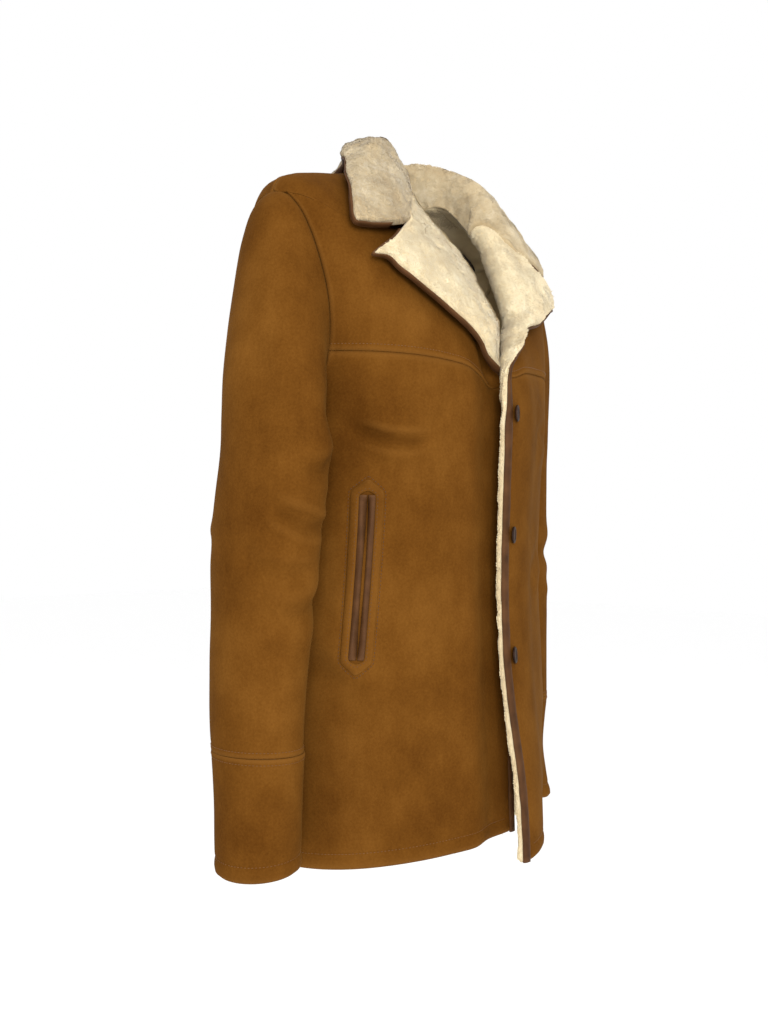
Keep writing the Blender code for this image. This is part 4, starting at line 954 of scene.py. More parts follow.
class Wall:
    """A sewn piece: a leather face, a fur face, and how far each point is from each edge."""

    def __init__(self, name, grids, spacing, ring=False):
        self.name, self.ring = name, ring
        (self.leather, self.fur), self.rows, self.cols = finer(grids, spacing, ring)
        through = unit(self.leather - self.fur)
        self.out = self.facing(self.leather, through)
        self.into = self.facing(self.fur, -through)
        self.far = self.distances()

    def facing(self, grid, like):
        if self.ring:
            wide = np.concatenate([grid[:, -2:], grid, grid[:, :2]], axis=1)
            like = np.concatenate([like[:, -2:], like, like[:, :2]], axis=1)
            return surface_normals(wide, like)[:, 2:-2]
        return surface_normals(grid, like)

    def distances(self):
        """Metres from the top, bottom, start and end edges, along the leather."""
        steps = np.linalg.norm(np.diff(self.leather, axis=0), axis=-1)
        down = np.concatenate([np.zeros((1, steps.shape[1])), np.cumsum(steps, axis=0)])
        steps = np.linalg.norm(np.diff(self.leather, axis=1), axis=-1)
        across = np.concatenate([np.zeros((len(steps), 1)), np.cumsum(steps, axis=1)], axis=1)
        return {
            "top": down,
            "bottom": down[-1:] - down,
            "start": across,
            "end": across[:, -1:] - across,
        }

    def raise_leather(self, height):
        self.leather = self.leather + self.out * height[..., None]

    def raise_fur(self, height):
        self.fur = self.fur + self.into * height[..., None]

    def bend(self, height):
        """Moves both faces out together."""
        self.leather = self.leather + self.out * height[..., None]
        self.fur = self.fur + self.out * height[..., None]

    def face_fur(self):
        """Reads the fur face's normals again, once its points have moved."""
        self.into = self.facing(self.fur, self.into)

    def round_hem(self):
        self.round_edges(["bottom"], HEM_ROUND)
        self.round_edges(["bottom"], HEM_FUR_ROUND, "fur")

    def round_edges(self, edges, radius, face="leather"):
        """Turns a face down towards the other one beside these edges."""
        depth = 0.0
        for edge in edges:
            d = np.clip(self.far[edge] / radius, 0, 1)
            depth = np.maximum(depth, radius * (1 - np.sqrt(1 - (1 - d) ** 2)))
        if face == "leather":
            self.raise_leather(-depth)
        else:
            self.fur = self.fur + unit(self.leather - self.fur) * depth[..., None]

    def seam(self, edge, height, wide, where=1.0):
        """A soft ridge along an edge, where the seam allowance lies under the leather."""
        ridge = bell(self.far[edge], SEAM_CREST * wide, wide)
        self.raise_leather(where * height * ridge)

    def sew_line(self, edge, distance, deep, where=1.0):
        """A groove that a row of stitches pulls in."""
        self.raise_leather(-where * deep * bell(self.far[edge], distance, SEW_WIDE))

    def crease(self, part):
        """Folds the piece along its lines in the table of creases."""
        on_arm = part.startswith("sleeve")
        a, scale = (self.arm_angle(part), ARM_DEGREE) if on_arm else (self.leather[..., 0], 1.0)
        for c in (crease for crease in CREASES if crease.part == part):
            p = np.stack([a * scale, self.leather[..., 2]], axis=-1)
            start, end = np.array([c.a1 * scale, c.z1]), np.array([c.a2 * scale, c.z2])
            line = end - start
            long = np.linalg.norm(line)
            share = ((p - start) @ line) / (line @ line)
            bow = CREASE_BOW * long * np.sin(np.pi * np.clip(share, 0, 1))
            off = ((p - start) @ np.array([-line[1], line[0]])) / long + bow
            off = off + CREASE_WANDER * c.wide * noise(self.leather, CREASE_WANDER_SCALE, 3)
            fade = np.exp(-((CREASE_FADE * (share - 0.5)) ** 4))
            ahead = self.leather[..., 1] < SIDE_Y
            shows = 1.0 if on_arm else ahead != (part == "back")
            shape = sum(high * bell(off / c.wide, at, 1.0) for high, at in CREASE_BANKS)
            self.bend(c.deep * shape * fade * shows)

    def arm_angle(self, part):
        """Degrees round the arm from its outer side, positive to the front."""
        side = LEFT if part.endswith("left") else RIGHT
        centre = self.leather.mean(axis=1, keepdims=True)
        away = self.leather - centre
        return np.degrees(np.arctan2(-away[..., 1], side * away[..., 0]))

    def ease_unevenly(self, amount, seed):
        """The slight lumps of heavy skin that hangs, large ones and small ones."""
        large, small = (noise(self.leather, HANG_SCALES[k], seed + k) for k in (0, 1))
        self.bend(amount * (large + HANG_SMALL * small))

    def line(self, edge, distance):
        """Points and normals of the leather at this distance from an edge, along that edge."""
        far = self.far[edge]
        points, normals = self.leather, self.out
        if edge in ("start", "end"):
            far, points, normals = far.T, np.swapaxes(points, 0, 1), np.swapaxes(normals, 0, 1)
        if edge in ("bottom", "end"):
            far, points, normals = far[::-1], points[::-1], normals[::-1]
        found = [
            [np.interp(distance, far[:, i], grid[:, i, k]) for i in range(far.shape[1])]
            for grid in (points, normals)
            for k in range(3)
        ]
        line = np.array(found).T
        return line[:, :3], unit(line[:, 3:])

    def build(self, leather, fur):
        """The closed mesh. Its rim is three strips between the two faces' edges, mostly fur."""
        rows, cols = self.leather.shape[:2]
        points = [self.leather.reshape(-1, 3), self.fur.reshape(-1, 3)]
        second = rows * cols
        index = np.arange(second).reshape(rows, cols)
        if self.ring:
            index = np.concatenate([index, index[:, :1]], axis=1)
        a, b, c, d = index[:-1, :-1], index[:-1, 1:], index[1:, 1:], index[1:, :-1]
        face = np.stack([a, b, c, d], axis=-1).reshape(-1, 4)
        faces = [face, face[:, ::-1] + second]
        kinds = [np.zeros(len(face)), np.ones(len(face))]
        if self.ring:
            loops = [index[0][::-1], index[-1]]
        else:
            around = [index[0], index[1:, -1], index[-1, -2::-1], index[-2::-1, 0]]
            loops = [np.concatenate(around)[::-1]]
        count = 2 * second
        flat = np.concatenate(points)
        for loop in loops:
            loop = loop[:-1]
            chain = [loop]
            for t in RIM_SHARES:
                points.append(flat[loop] * (1 - t) + flat[loop + second] * t)
                chain.append(count + np.arange(len(loop)))
                count += len(loop)
            chain.append(loop + second)
            for k, (one, two) in enumerate(zip(chain, chain[1:])):
                quad = [one, np.roll(one, -1), np.roll(two, -1), two]
                faces.append(np.stack(quad, axis=-1))
                kinds.append(np.full(len(loop), min(k, 1)))  # the first strip is leather
        points, faces = np.concatenate(points), np.concatenate(faces)
        return add_piece(self.name, points, faces, [leather, fur], np.concatenate(kinds))


def placed(name, data, axes=None):
    """A new object in the scene, its axes and place being the columns of its matrix."""
    made = bpy.data.objects.new(name, data)
    bpy.context.collection.objects.link(made)
    if axes is not None:
        matrix = np.eye(4)
        matrix[:3, :] = np.stack(axes, axis=-1)
        made.matrix_world = Matrix(matrix.tolist())
    return made


def add_piece(name, points, faces, materials, kinds=None, closed=True):
    """A mesh of quads or triangles, a closed one with its normals outwards."""
    sides = faces.shape[1]
    mesh = bpy.data.meshes.new(name)
    mesh.vertices.add(len(points))
    mesh.vertices.foreach_set("co", np.asarray(points, np.float32).ravel())
    corners = points[faces]
    centre = corners.mean(axis=1)
    area = np.cross(corners[:, 2] - corners[:, 0], corners[:, -1] - corners[:, 1])
    if closed and (centre * area).sum() < 0:
        faces = faces[:, ::-1]
    mesh.loops.add(faces.size)
    mesh.loops.foreach_set("vertex_index", faces.ravel().astype(np.int32))
    mesh.polygons.add(len(faces))
    mesh.polygons.foreach_set("loop_start", np.arange(0, faces.size, sides, dtype=np.int32))
    for material in materials:
        mesh.materials.append(material)
    if kinds is not None:
        mesh.polygons.foreach_set("material_index", kinds.astype(np.int32))
    mesh.update()
    mesh.validate()
    mesh.shade_smooth()
    piece = placed(name, mesh)
    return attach(piece, "root")


# ---------------------------------------------------------------- swept pieces


def swept(name, sections, material, closed=False):
    """A solid through closed sections of an even number of points, capped or joined up."""
    count, sides = sections.shape[:2]
    index = np.arange(count * sides).reshape(count, sides)
    wide = np.concatenate([index, index[:, :1]], axis=1)
    if closed:
        wide = np.concatenate([wide, wide[:1]])
    quads = [wide[:-1, :-1], wide[:-1, 1:], wide[1:, 1:], wide[1:, :-1]]
    faces = [np.stack(quads, axis=-1).reshape(-1, 4)]
    if not closed:
        k = np.arange(sides // 2 - 1)
        for ring, turn in ((index[0], -1), (index[-1], 1)):
            cap = [ring[k], ring[k + 1], ring[sides - 2 - k], ring[sides - 1 - k]]
            faces.append(np.stack(cap, axis=-1)[:, ::turn])
    return add_piece(name, sections.reshape(-1, 3), np.concatenate(faces), [material])


# A binding's section: the share of the way in on the leather, how far out past the edge,
# how far down through the edge, and the share of its leg on the edge's face.
Bend = namedtuple("Bend", "share out down leg")
BINDING_SECTION = (
    Bend(1.00, 0.0000, 0.0004, 0.0),
    Bend(1.02, 0.0000, -0.0010, 0.0),
    Bend(0.90, 0.0000, -0.0019, 0.0),
    Bend(0.60, 0.0000, -0.0023, 0.0),
    Bend(0.25, 0.0000, -0.0024, 0.0),
    Bend(0.00, 0.0006, -0.0020, 0.0),
    Bend(0.00, 0.0017, -0.0011, 0.0),
    Bend(0.00, 0.0022, 0.0002, 0.08),
    Bend(0.00, 0.0024, 0.0000, 0.42),
    Bend(0.00, 0.0023, 0.0000, 0.72),
    Bend(0.00, 0.0018, 0.0000, 0.93),
    Bend(0.00, 0.0008, 0.0000, 1.00),
    Bend(0.00, 0.0000, 0.0000, 0.83),
    Bend(0.00, -0.0008, 0.0000, 0.45),
    Bend(0.00, -0.0008, 0.0000, 0.15),
    Bend(0.40, 0.0000, 0.0006, 0.0),
)


def binding(name, leather_edge, fur_edge, leather_in, fur_in, leg, material):
    """A strip folded round an edge. Its leg lies on the edge's own face."""
    down = unit(fur_edge - leather_edge)
    down_in = unit(fur_in - leather_in)
    steps = unit(np.diff(leather_edge, axis=0))
    along = unit(np.concatenate([steps[:1], steps[:-1] + steps[1:], steps[-1:]]))
    inward = leather_in - leather_edge
    inward = inward - down * dot(inward, down)
    inward = unit(inward - along * dot(inward, along))
    leg = np.broadcast_to(leg, len(leather_edge))[:, None]
    sections = []
    for bend in BINDING_SECTION:
        way = unit(down * (1 - bend.share) + down_in * bend.share)
        place = leather_edge * (1 - bend.share) + leather_in * bend.share
        sections.append(place + way * (bend.down + bend.leg * leg) - inward * bend.out)
    sections = np.stack(sections, axis=1)
    fine = resampled(sections, counts_for(sections, BINDING_STEP))
    away = unit(fine - fine.mean(axis=1, keepdims=True))
    lumps = BINDING_LUMPS * noise(fine, BINDING_SCALE, HANG_SEEDS["binding"])
    fine = fine + lumps[..., None] * away
    return swept(name, fine, material)


def lapel_weight(rows):
    """1 where a front is turned back and 0 along its straight edge, for its rows in all."""
    return 1 - ease(np.arange(rows), LAST_TURNED_ROW - 2.0, LAST_TURNED_ROW)


def front_binding(name, yoke, lower, material):
    """From the notch along the lapel's top, round its tip and down the edge to the hem."""
    leather, fur = (np.concatenate([yoke[k], lower[k][1:]]) for k in (0, 1))
    top = slice(-(LAPEL_COLUMNS - NOTCH_COLUMN), -1)
    ends = [np.concatenate([grid[0, top], grid[:, -1]]) for grid in (leather, fur)]
    upright = flipped(grid[2::-1, top] for grid in (leather, fur))
    above = beside(*upright, BINDING_WIDTH)
    twist = bell(np.arange(len(leather)), BREAK_BINDING_ROW, BREAK_BINDING_ROWS)
    wide = BINDING_WIDTH * STRAIGHT_WIDTH * (1 - BREAK_NARROWING * twist)
    down_edge = beside(leather, fur, wide)
    tip = [grid[0, -1] + TIP_SHARE * (grid[1, -2] - grid[0, -1]) for grid in (leather, fur)]
    down_edge[:, 0] = tip
    inside = np.concatenate([above, down_edge], axis=1)
    weight = np.concatenate([np.ones(above.shape[1]), lapel_weight(len(leather))])
    leg = BINDING_LEG_FRONT + (BINDING_LEG - BINDING_LEG_FRONT) * weight
    return binding(name, *ends, *inside, leg, material)


def collar_binding(fur, leather, material):
    """Down one front edge of the collar, round its outer edge and up the other front edge."""
    rows = slice(COLLAR_FREE_ROW, -1)
    edges, insides = [], []
    for grid in (leather, fur):
        edges.append(np.concatenate([grid[rows, 0], grid[-1], grid[rows, -1][::-1]]))
    wide = COLLAR_BINDING * BINDING_WIDTH
    starts = beside(leather[rows, 1::-1], fur[rows, 1::-1], wide)
    finish = beside(leather[rows, -2:], fur[rows, -2:], wide)[:, ::-1]
    low = beside(*flipped((leather, fur)), wide)
    for k, grid in enumerate((leather, fur)):
        for end, beyond in ((0, 1), (-1, -2)):
            low[k, end] = grid[-1, end] + CORNER_SHARE * (grid[-2, beyond] - grid[-1, end])
        insides.append(np.concatenate([starts[k], low[k], finish[k]]))
    side = len(leather[rows])
    leg = np.full(len(edges[0]), BINDING_LEG)
    leg[:side], leg[-side:] = BINDING_LEG_COLLAR, BINDING_LEG_COLLAR
    return binding("bound_collar", *edges, *insides, leg, material)


# ---------------------------------------------------------------- fur and thread


def with_rim(points, normals, base, reach):
    """A fur face with its last column carried over the rim, this share of the way to its base."""
    edge = points[:, -1:]
    outward = unit(base - base[:, :1] + edge - points[:, -3:-2])
    rim = [edge + (base - edge) * reach * t for t in RIM_MARKS]
    turned = [unit(normals[:, -1:] * (1 - t) + outward * (RIM_TURN + t)) for t in RIM_MARKS]
    return np.concatenate([points, *rim], axis=1), np.concatenate([normals, *turned], axis=1)


def tufts(name, points, normals, weight, trim, material, per_mm2=TUFTS_PER_MM2, seed=SEED):
    """Short locks of fur that lie nearly flat over a face, where weight is over 0.

    trim is the share of their length that they keep.
    """
    rng = np.random.default_rng(seed)
    comb = np.gradient(points, axis=1)
    corners = [(slice(-1), slice(-1)), (slice(-1), slice(1, None))]
    corners += [(slice(1, None), slice(1, None)), (slice(1, None), slice(-1))]
    a, b, c, d = (points[corner] for corner in corners)
    area = np.linalg.norm(np.cross(c - a, d - b), axis=-1) / 2
    odds = (area * weight[:-1, :-1]).ravel()
    count = int(odds.sum() * 1e6 * per_mm2)
    cell = rng.choice(len(odds), count, p=odds / odds.sum())
    u, v = rng.random((2, count, 1))
    shares = ((1 - u) * (1 - v), u * (1 - v), u * v, (1 - u) * v)

    def mixed(grid):
        at_corners = (grid[corner].reshape(-1, grid.shape[-1])[cell] for corner in corners)
        return sum(share * value for share, value in zip(shares, at_corners))

    def varied(amounts, noise_seed):
        fixed, chance, patches, scale = amounts
        return fixed + chance * rng.random(count) + patches * noise(foot, scale, noise_seed)

    foot, normal, flow = mixed(points), unit(mixed(normals)), unit(mixed(comb))
    swirl = np.stack([noise(foot, SWIRL_SCALE, seed + k) for k in (1, 2, 3)], axis=-1)
    way = COMBED * flow + SWIRLED * swirl + RUFFLED * rng.normal(size=(count, 3))
    way = unit(way - normal * dot(way, normal))
    long = (TUFT_LENGTH * varied(TUFT_LONG, seed + 4))[:, None] * mixed(trim[..., None])
    side = np.cross(normal, way) * TUFT_WIDTH / 2
    rise = varied(TUFT_RISE, seed + 5)[:, None]
    low = foot - normal * TUFT_ROOT
    middle = foot + way * long * TUFT_BEND + normal * rise
    tip = foot + way * long * TUFT_END + normal * rise * 0.9
    locks = np.stack([low - side, low + side, middle - side, middle + side, tip], axis=1)
    faces = np.array(TUFT_FACES)
    faces = (faces[None] + locks.shape[1] * np.arange(count)[:, None, None]).reshape(-1, 3)
    piece = add_piece(name, locks.reshape(-1, 3), faces, [material], closed=False)
    height = np.tile(TUFT_HEIGHTS, count)
    shade = piece.data.attributes.new("height", "FLOAT", "POINT")
    shade.data.foreach_set("value", height.astype(np.float32))
    return piece


class Thread:
    """Rows of stitches in one colour, gathered into one piece."""

    def __init__(self):
        self.points = []

    def row(self, line, normals, closed=False):
        if closed:
            line, normals = (np.concatenate([g, g[:1]]) for g in (line, normals))
        length = lengths(line)
        centres = np.arange(STITCH_PITCH / 2, length[-1], STITCH_PITCH)
        if not len(centres):
            return
        at, normal = (along_line(g, length, centres) for g in (line, normals))
        ahead, behind = (along_line(line, length, centres + step) for step in (1e-3, -1e-3))
        along, normal = unit(ahead - behind), unit(normal)
        across = np.cross(along, normal)
        for place, wide, lift in STITCH_RINGS:
            for x, y in ((-1, 0), (0, 1), (1, 0), (0, -1)):
                self.points.append(
                    at
                    + along * place * STITCH_LENGTH
                    + across * x * wide * STITCH_WIDTH / 2
                    + normal * (y * wide / 2 + lift) * STITCH_WIDTH
                )
        self.points[-16:] = [np.stack(self.points[-16:], axis=1)]

    def build(self, name, material):
        points = np.concatenate(self.points)
        ring = np.arange(4)
        faces = [(3, 2, 1, 0), (12, 13, 14, 15)]
        for start in (0, 4, 8):
            for k in ring:
                m = (k + 1) % 4
                faces.append((start + k, start + m, start + 4 + m, start + 4 + k))
        faces = np.array(faces)[None] + 16 * np.arange(len(points))[:, None, None]
        return add_piece(name, points.reshape(-1, 3), faces.reshape(-1, 4), [material])


# ---------------------------------------------------------------- pockets and buttons

PAST_LAST = 1.001  # from a grid's size back to just inside its last cell


class Panel:
    """A panel's leather face, read anywhere between its grid's points."""

    def __init__(self, wall):
        self.grid, self.normals = wall.leather, wall.out
        self.last = int(np.searchsorted(wall.cols, FRONT_COLUMNS))

    def at(self, row, col, lift):
        """The point at this row and column of the grid, this far out from the leather."""
        row = np.clip(row, 0, len(self.grid) - PAST_LAST)
        col = np.clip(col, 0, self.grid.shape[1] - PAST_LAST)
        i, j = row.astype(int), col.astype(int)
        a, b = (row - i)[..., None], (col - j)[..., None]
        found = []
        for grid in (self.grid, self.normals):
            upper = grid[i, j] * (1 - b) + grid[i, j + 1] * b
            lower = grid[i + 1, j] * (1 - b) + grid[i + 1, j + 1] * b
            found.append(upper * (1 - a) + lower * a)
        return found[0] + unit(found[1]) * np.asarray(lift)[..., None]

    def locate(self, x, z):
        """Row and column of the point with this x and z on the half of the panel by the arm."""
        points = self.grid[:, : self.last]
        miss = np.hypot(points[..., 0] - x, points[..., 2] - z)
        miss = np.where(points[..., 1] < SIDE_Y, miss, 1.0)
        return np.array(np.unravel_index(np.argmin(miss), miss.shape), float)


POCKET_OPEN = 0.0011  # how far each welt bows away from the middle of the slit
FRAME_HALF = WELT_SLIT + WELT_WIDTH + SEAM_GAP  # from the slit to the frame
POINT_SLOPE = 0.35  # how much sooner than its width the frame's point starts
POINT_INSIDE = 0.004  # the point of the frame's inner edge
FRAME_START = 0.0005  # the inner edge starts this far past the opening's end
SLIT_DEEP, SLIT_HALF = 0.0045, 0.0032  # the hollow behind the welts
SLIT_ENDS = (-0.001, 0.006)  # how it deepens from the opening's ends inwards
GROOVE_DEEP, GROOVE_OUT, GROOVE_WIDE = 0.0008, 0.0018, 0.0022  # round the frame
GROOVE_ENDS = (-0.028, -0.012)
FRAME_STITCHES = ((0.0022, 0.0021), (FRAME_WIDTH + 0.002, 0.0))  # how far out, and lift
OUTLINE_POINTS = 180
MM = 0.001
# Sections as the share of the way across and the lift in millimetres.
WELT_SECTION = (
    ((0.0, 0.6), (0.02, 1.7), (0.14, 2.5), (0.36, 2.9), (0.62, 2.6))
    + ((0.85, 2.0), (1.04, 1.3), (1.04, 0.2), (0.60, 0.2), (0.20, 0.2))
)
FRAME_SECTION = (
    ((0.0, 0.2), (0.0, 1.5), (0.12, 2.2), (0.35, 2.5), (0.65, 2.2))
    + ((0.88, 1.5), (1.0, 0.8), (1.0, -0.2))
)
# A button's section as shares of its radius and its thickness.
BUTTON_SECTION = (
    ((0.02, 0.2), (0.80, 0.2), (0.97, 0.35), (1.0, 0.6), (0.98, 0.85))
    + ((0.90, 1.0), (0.80, 0.98), (0.70, 0.80), (0.60, 0.68), (0.02, 0.66))
)
BUTTON_THREAD_HALF, BUTTON_THREAD_APART = 0.0016, 0.0013  # each line's, and from the middle
BUTTON_THREAD_LIFT = 0.72  # share of the thickness


class Pocket:
    """Places points by (down, across) in metres from the upper end of a pocket's opening."""

    def __init__(self, wall, side):
        self.wall, self.side = wall, side
        panel = Panel(wall)
        self.start = panel.locate(-side * POCKET_TOP[0], POCKET_TOP[1])
        self.end = panel.locate(-side * POCKET_FOOT[0], POCKET_FOOT[1])
        ends = panel.at(*np.stack([self.start, self.end], axis=1), 0.0)
        self.length = float(np.linalg.norm(ends[1] - ends[0]))
        self.sink(ends)
        self.panel = Panel(wall)

    def sink(self, ends):
        """Presses the slit and the groove round the frame into the panel."""
        axis = unit(ends[1] - ends[0])
        points = self.wall.leather - ends[0]
        down = points @ axis
        off = points - down[..., None] * axis
        across = np.linalg.norm(off, axis=-1)
        near = np.where(self.wall.leather[..., 1] < SIDE_Y, 1.0, 0.0)
        slit = SLIT_DEEP * np.exp(-((across / SLIT_HALF) ** 4)) * self.within(down, *SLIT_ENDS)
        half = self.half_width(down, FRAME_HALF + FRAME_WIDTH)
        groove = GROOVE_DEEP * bell(across - half, GROOVE_OUT, GROOVE_WIDE)
        groove = groove * self.within(down, *GROOVE_ENDS)
        self.wall.raise_leather(-near * (slit + groove))

    def within(self, down, low, high):
        """1 along the opening, easing to 0 from high to low metres in from both its ends."""
        return ease(down, low, high) * (1 - ease(down, self.length - high, self.length - low))

    def half_width(self, down, half):
        """The frame's half width at this place along it, its points narrowing to 0."""
        before = -FRAME_WIDTH * POINT_SLOPE
        after = self.length - before
        marks = [before - FRAME_POINT, before, after, after + FRAME_POINT]
        return np.interp(down, marks, [0, half, half, 0])

    def at(self, down, across, lift):
        """The point of the panel this far down and across, and this far out from it."""
        down, across = np.broadcast_arrays(np.asarray(down, float), np.asarray(across, float))
        share = (down / self.length)[..., None]
        row, col = np.moveaxis(self.start + (self.end - self.start) * share, -1, 0)
        step = 2.0
        one_way = self.panel.at(row, col - step, 0.0)
        other_way = self.panel.at(row, col + step, 0.0)
        scale = 2 * step / np.linalg.norm(other_way - one_way, axis=-1)
        return self.panel.at(row, col + across * scale, lift)

    def welt(self, name, sign, material):
        """A soft folded strip whose fold lies along the slit."""
        down = np.linspace(0, self.length, 70)
        near = WELT_SLIT + POCKET_OPEN * np.sin(np.pi * down / self.length)
        rings = []
        for share, lift in WELT_SECTION:
            across = near + (WELT_SLIT + WELT_WIDTH - near) * share
            rings.append(self.at(down, sign * across, lift * MM))
        piece = swept(name, np.stack(rings, axis=1), material)
        return piece

    def outline(self, out):
        """Down and across of a long hexagon, this far out from the frame's inner edge."""
        half = FRAME_HALF + out
        beyond = FRAME_START + out * POINT_SLOPE
        point = POINT_INSIDE + (FRAME_POINT - POINT_INSIDE) * out / FRAME_WIDTH
        front = [(down, half) for down in np.linspace(-beyond, self.length + beyond, 60)]
        back = [(down, -across) for down, across in front[::-1]]
        head, foot = (-beyond - point, 0.0), (self.length + beyond + point, 0.0)
        path = np.array([head, *front, foot, *back, head])
        length = lengths(path)
        path = along_line(path, length, np.linspace(0, length[-1], OUTLINE_POINTS + 1)[:-1])
        for _ in range(2):
            path = (np.roll(path, 1, axis=0) + 2 * path + np.roll(path, -1, axis=0)) / 4
        return path

    def frame(self, name, material, thread):
        """A flat ring round both welts, with a point above and below."""
        rings = []
        for share, lift in FRAME_SECTION:
            rings.append(self.at(*self.outline(FRAME_WIDTH * share).T, lift * MM))
        for out, lift in FRAME_STITCHES:
            path = self.outline(out).T
            line = self.at(*path, lift)
            thread.row(line, unit(self.at(*path, lift + 0.01) - line), closed=True)
        piece = swept(name, np.stack(rings, axis=1), material, closed=True)
        return piece


def button(name, panel, x, z, horn, thread):
    """A horn button with a raised rim, held by two lines of thread."""
    row, col = panel.locate(x, z)[:, None]
    centre, above = (panel.at(row, col, lift)[0] - (BUTTON_PULL, 0, 0) for lift in (0.0, 1.0))
    normal = above - centre
    across = unit(np.cross(normal, np.array([0.0, 0.0, 1.0])))
    tilt = np.sign(across[0]) * BUTTON_TILT
    c, s = np.cos(tilt), np.sin(tilt)
    normal, across = normal * c + across * s, across * c - normal * s
    up = np.cross(across, normal)
    angles = np.linspace(0, 2 * np.pi, 48, endpoint=False)
    ring = np.cos(angles)[:, None] * across + np.sin(angles)[:, None] * up
    rings = [
        centre + ring * BUTTON_RADIUS * wide + normal * (PATCH_GAP + BUTTON_THICK * high)
        for wide, high in BUTTON_SECTION
    ]
    piece = swept(name, np.array(rings), horn)
    above = normal * (PATCH_GAP + BUTTON_THICK * BUTTON_THREAD_LIFT)
    for sign in (-1, 1):
        place = centre + up * sign * BUTTON_THREAD_APART + above
        half = across * BUTTON_THREAD_HALF
        line = np.linspace(place - half, place + half, 6)
        thread.row(line, np.repeat(normal[None], len(line), axis=0))
    return piece


# ---------------------------------------------------------------- materials


class Finish:
    """A procedural material read in the coat's own frame."""

    def __init__(self, name, **shader):
        self.material = bpy.data.materials.new(name)
        self.material.use_nodes = True
        self.tree = self.material.node_tree
        self.shader = self.tree.nodes["Principled BSDF"]
        for key, value in shader.items():
            self.shader.inputs[key.replace("_", " ")].default_value = value
        self.coords = self.add("ShaderNodeTexCoord", "Object")

    def add(self, kind, out, settings=None, **inputs):
        """A node's output of this name. Inputs go by name, or by number as in i0."""
        node = self.tree.nodes.new(kind)
        for key, value in (settings or {}).items():
            setattr(node, key, value)
        for key, value in inputs.items():
            by_number = key[0] == "i" and key[1:].isdigit()
            socket = node.inputs[int(key[1:]) if by_number else key.replace("_", " ")]
            if isinstance(value, bpy.types.NodeSocket):
                self.tree.links.new(value, socket)
            else:
                socket.default_value = value
        return node.outputs[out]

    def noise(self, scale, detail=2.0, stretch=None, rough=0.5):
        coords = self.coords
        if stretch:
            coords = self.add("ShaderNodeMapping", "Vector", Vector=coords, Scale=stretch)
        return self.add(
            "ShaderNodeTexNoise", 0, Vector=coords, Scale=scale, Detail=detail, Roughness=rough
        )

    def math(self, how, one, two):
        return self.add("ShaderNodeMath", 0, {"operation": how}, i0=one, i1=two)

    def scaled(self, value, by, plus):
        return self.math("ADD", self.math("MULTIPLY", value, by), plus)

    def weigh(self, *pairs):
        """The sum of values times their weights, centred on a half."""
        total = 0.5
        for value, weight in pairs:
            total = self.scaled(self.math("SUBTRACT", value, 0.5), weight, total)
        return total

    def ramp(self, value, *stops):
        node = self.tree.nodes.new("ShaderNodeValToRGB")
        self.tree.links.new(value, node.inputs[0])
        while len(node.color_ramp.elements) < len(stops):
            node.color_ramp.elements.new(0.5)
        for element, (place, color) in zip(node.color_ramp.elements, stops):
            element.position = place
            element.color = (*color, 1.0)
        return node.outputs["Color"]

    def mix(self, share, one, two, how="MIX"):
        settings = {"data_type": "RGBA", "blend_type": how}
        return self.add("ShaderNodeMix", 2, settings, i0=share, i6=one, i7=two)

    def wear_and_shade(self, low, high):
        """0 in hollows and 1 on ridges: a mask for rubbed wear, for painted shade in hollows and
        for a painted highlight on ridges.
        """
        point = self.add("ShaderNodeNewGeometry", "Pointiness")
        settings = {"clamp": True}
        return self.add(
            "ShaderNodeMapRange", 0, settings, Value=point, From_Min=low, From_Max=high
        )

    def finish(self, color, rough=None, height=None, bump=0.0, distance=0.0):
        self.tree.links.new(color, self.shader.inputs["Base Color"])
        if rough is not None:
            self.tree.links.new(rough, self.shader.inputs["Roughness"])
        if height is not None:
            normal = self.add(
                "ShaderNodeBump", "Normal", Strength=bump, Distance=distance, Height=height
            )
            self.tree.links.new(normal, self.shader.inputs["Normal"])
        return self.material


LAPEL_WOOL = ((0.57, 0.465, 0.295), (0.655, 0.56, 0.375), (0.73, 0.655, 0.48))
# A darker copy of the wool for the collar and the back's neck: its darkness is painted shade.
COLLAR_WOOL_PAINTED_SHADE = ((0.38, 0.29, 0.17), (0.48, 0.39, 0.25), (0.58, 0.50, 0.36))
TAN_THREAD, DARK_THREAD = (0.115, 0.044, 0.0070), (0.060, 0.024, 0.008)


def suede():
    """Tan suede: cloudy, with a short nap, lighter on its ridges from rubbed nap and a painted
    highlight, and darkened in its hollows by painted shade.
    """
    made = Finish(
        "tan_suede", Sheen_Weight=0.03, Sheen_Roughness=0.45, Sheen_Tint=(0.90, 0.55, 0.15, 1),
        Specular_IOR_Level=0.02,
    )
    clouds = made.noise(7.0, 3.0)
    patches = made.noise(34.0, 3.0, stretch=(1.0, 1.0, 0.8))
    nap = made.noise(420.0, 4.0, rough=0.65)
    streaks = made.noise(150.0, 3.0, stretch=(1.0, 1.0, 0.22))
    shade = made.weigh((clouds, 0.9), (patches, 0.55), (nap, 0.55), (streaks, 0.14))
    color = made.ramp(
        shade,
        (0.20, (0.070, 0.0238, 0.0026)),
        (0.50, (0.105, 0.0388, 0.0050)),
        (0.80, (0.142, 0.0562, 0.0085)),
    )
    # Lighter on ridges: partly rubbed nap, partly a painted highlight.
    color = made.mix(made.wear_and_shade(0.51, 0.60), color, (0.160, 0.066, 0.0120, 1))
    # Painted shade: hollows and creases darkened towards a near-black brown.
    hollow = made.wear_and_shade(0.410, 0.49)
    color = made.mix(hollow, made.mix(0.75, color, (0.036, 0.011, 0.0008, 1)), color)
    height = made.weigh((nap, 0.8), (patches, 0.25), (streaks, 0.3))
    rough = made.scaled(patches, 0.12, 0.82)
    return made.finish(color, rough, height, bump=0.35, distance=0.0007)


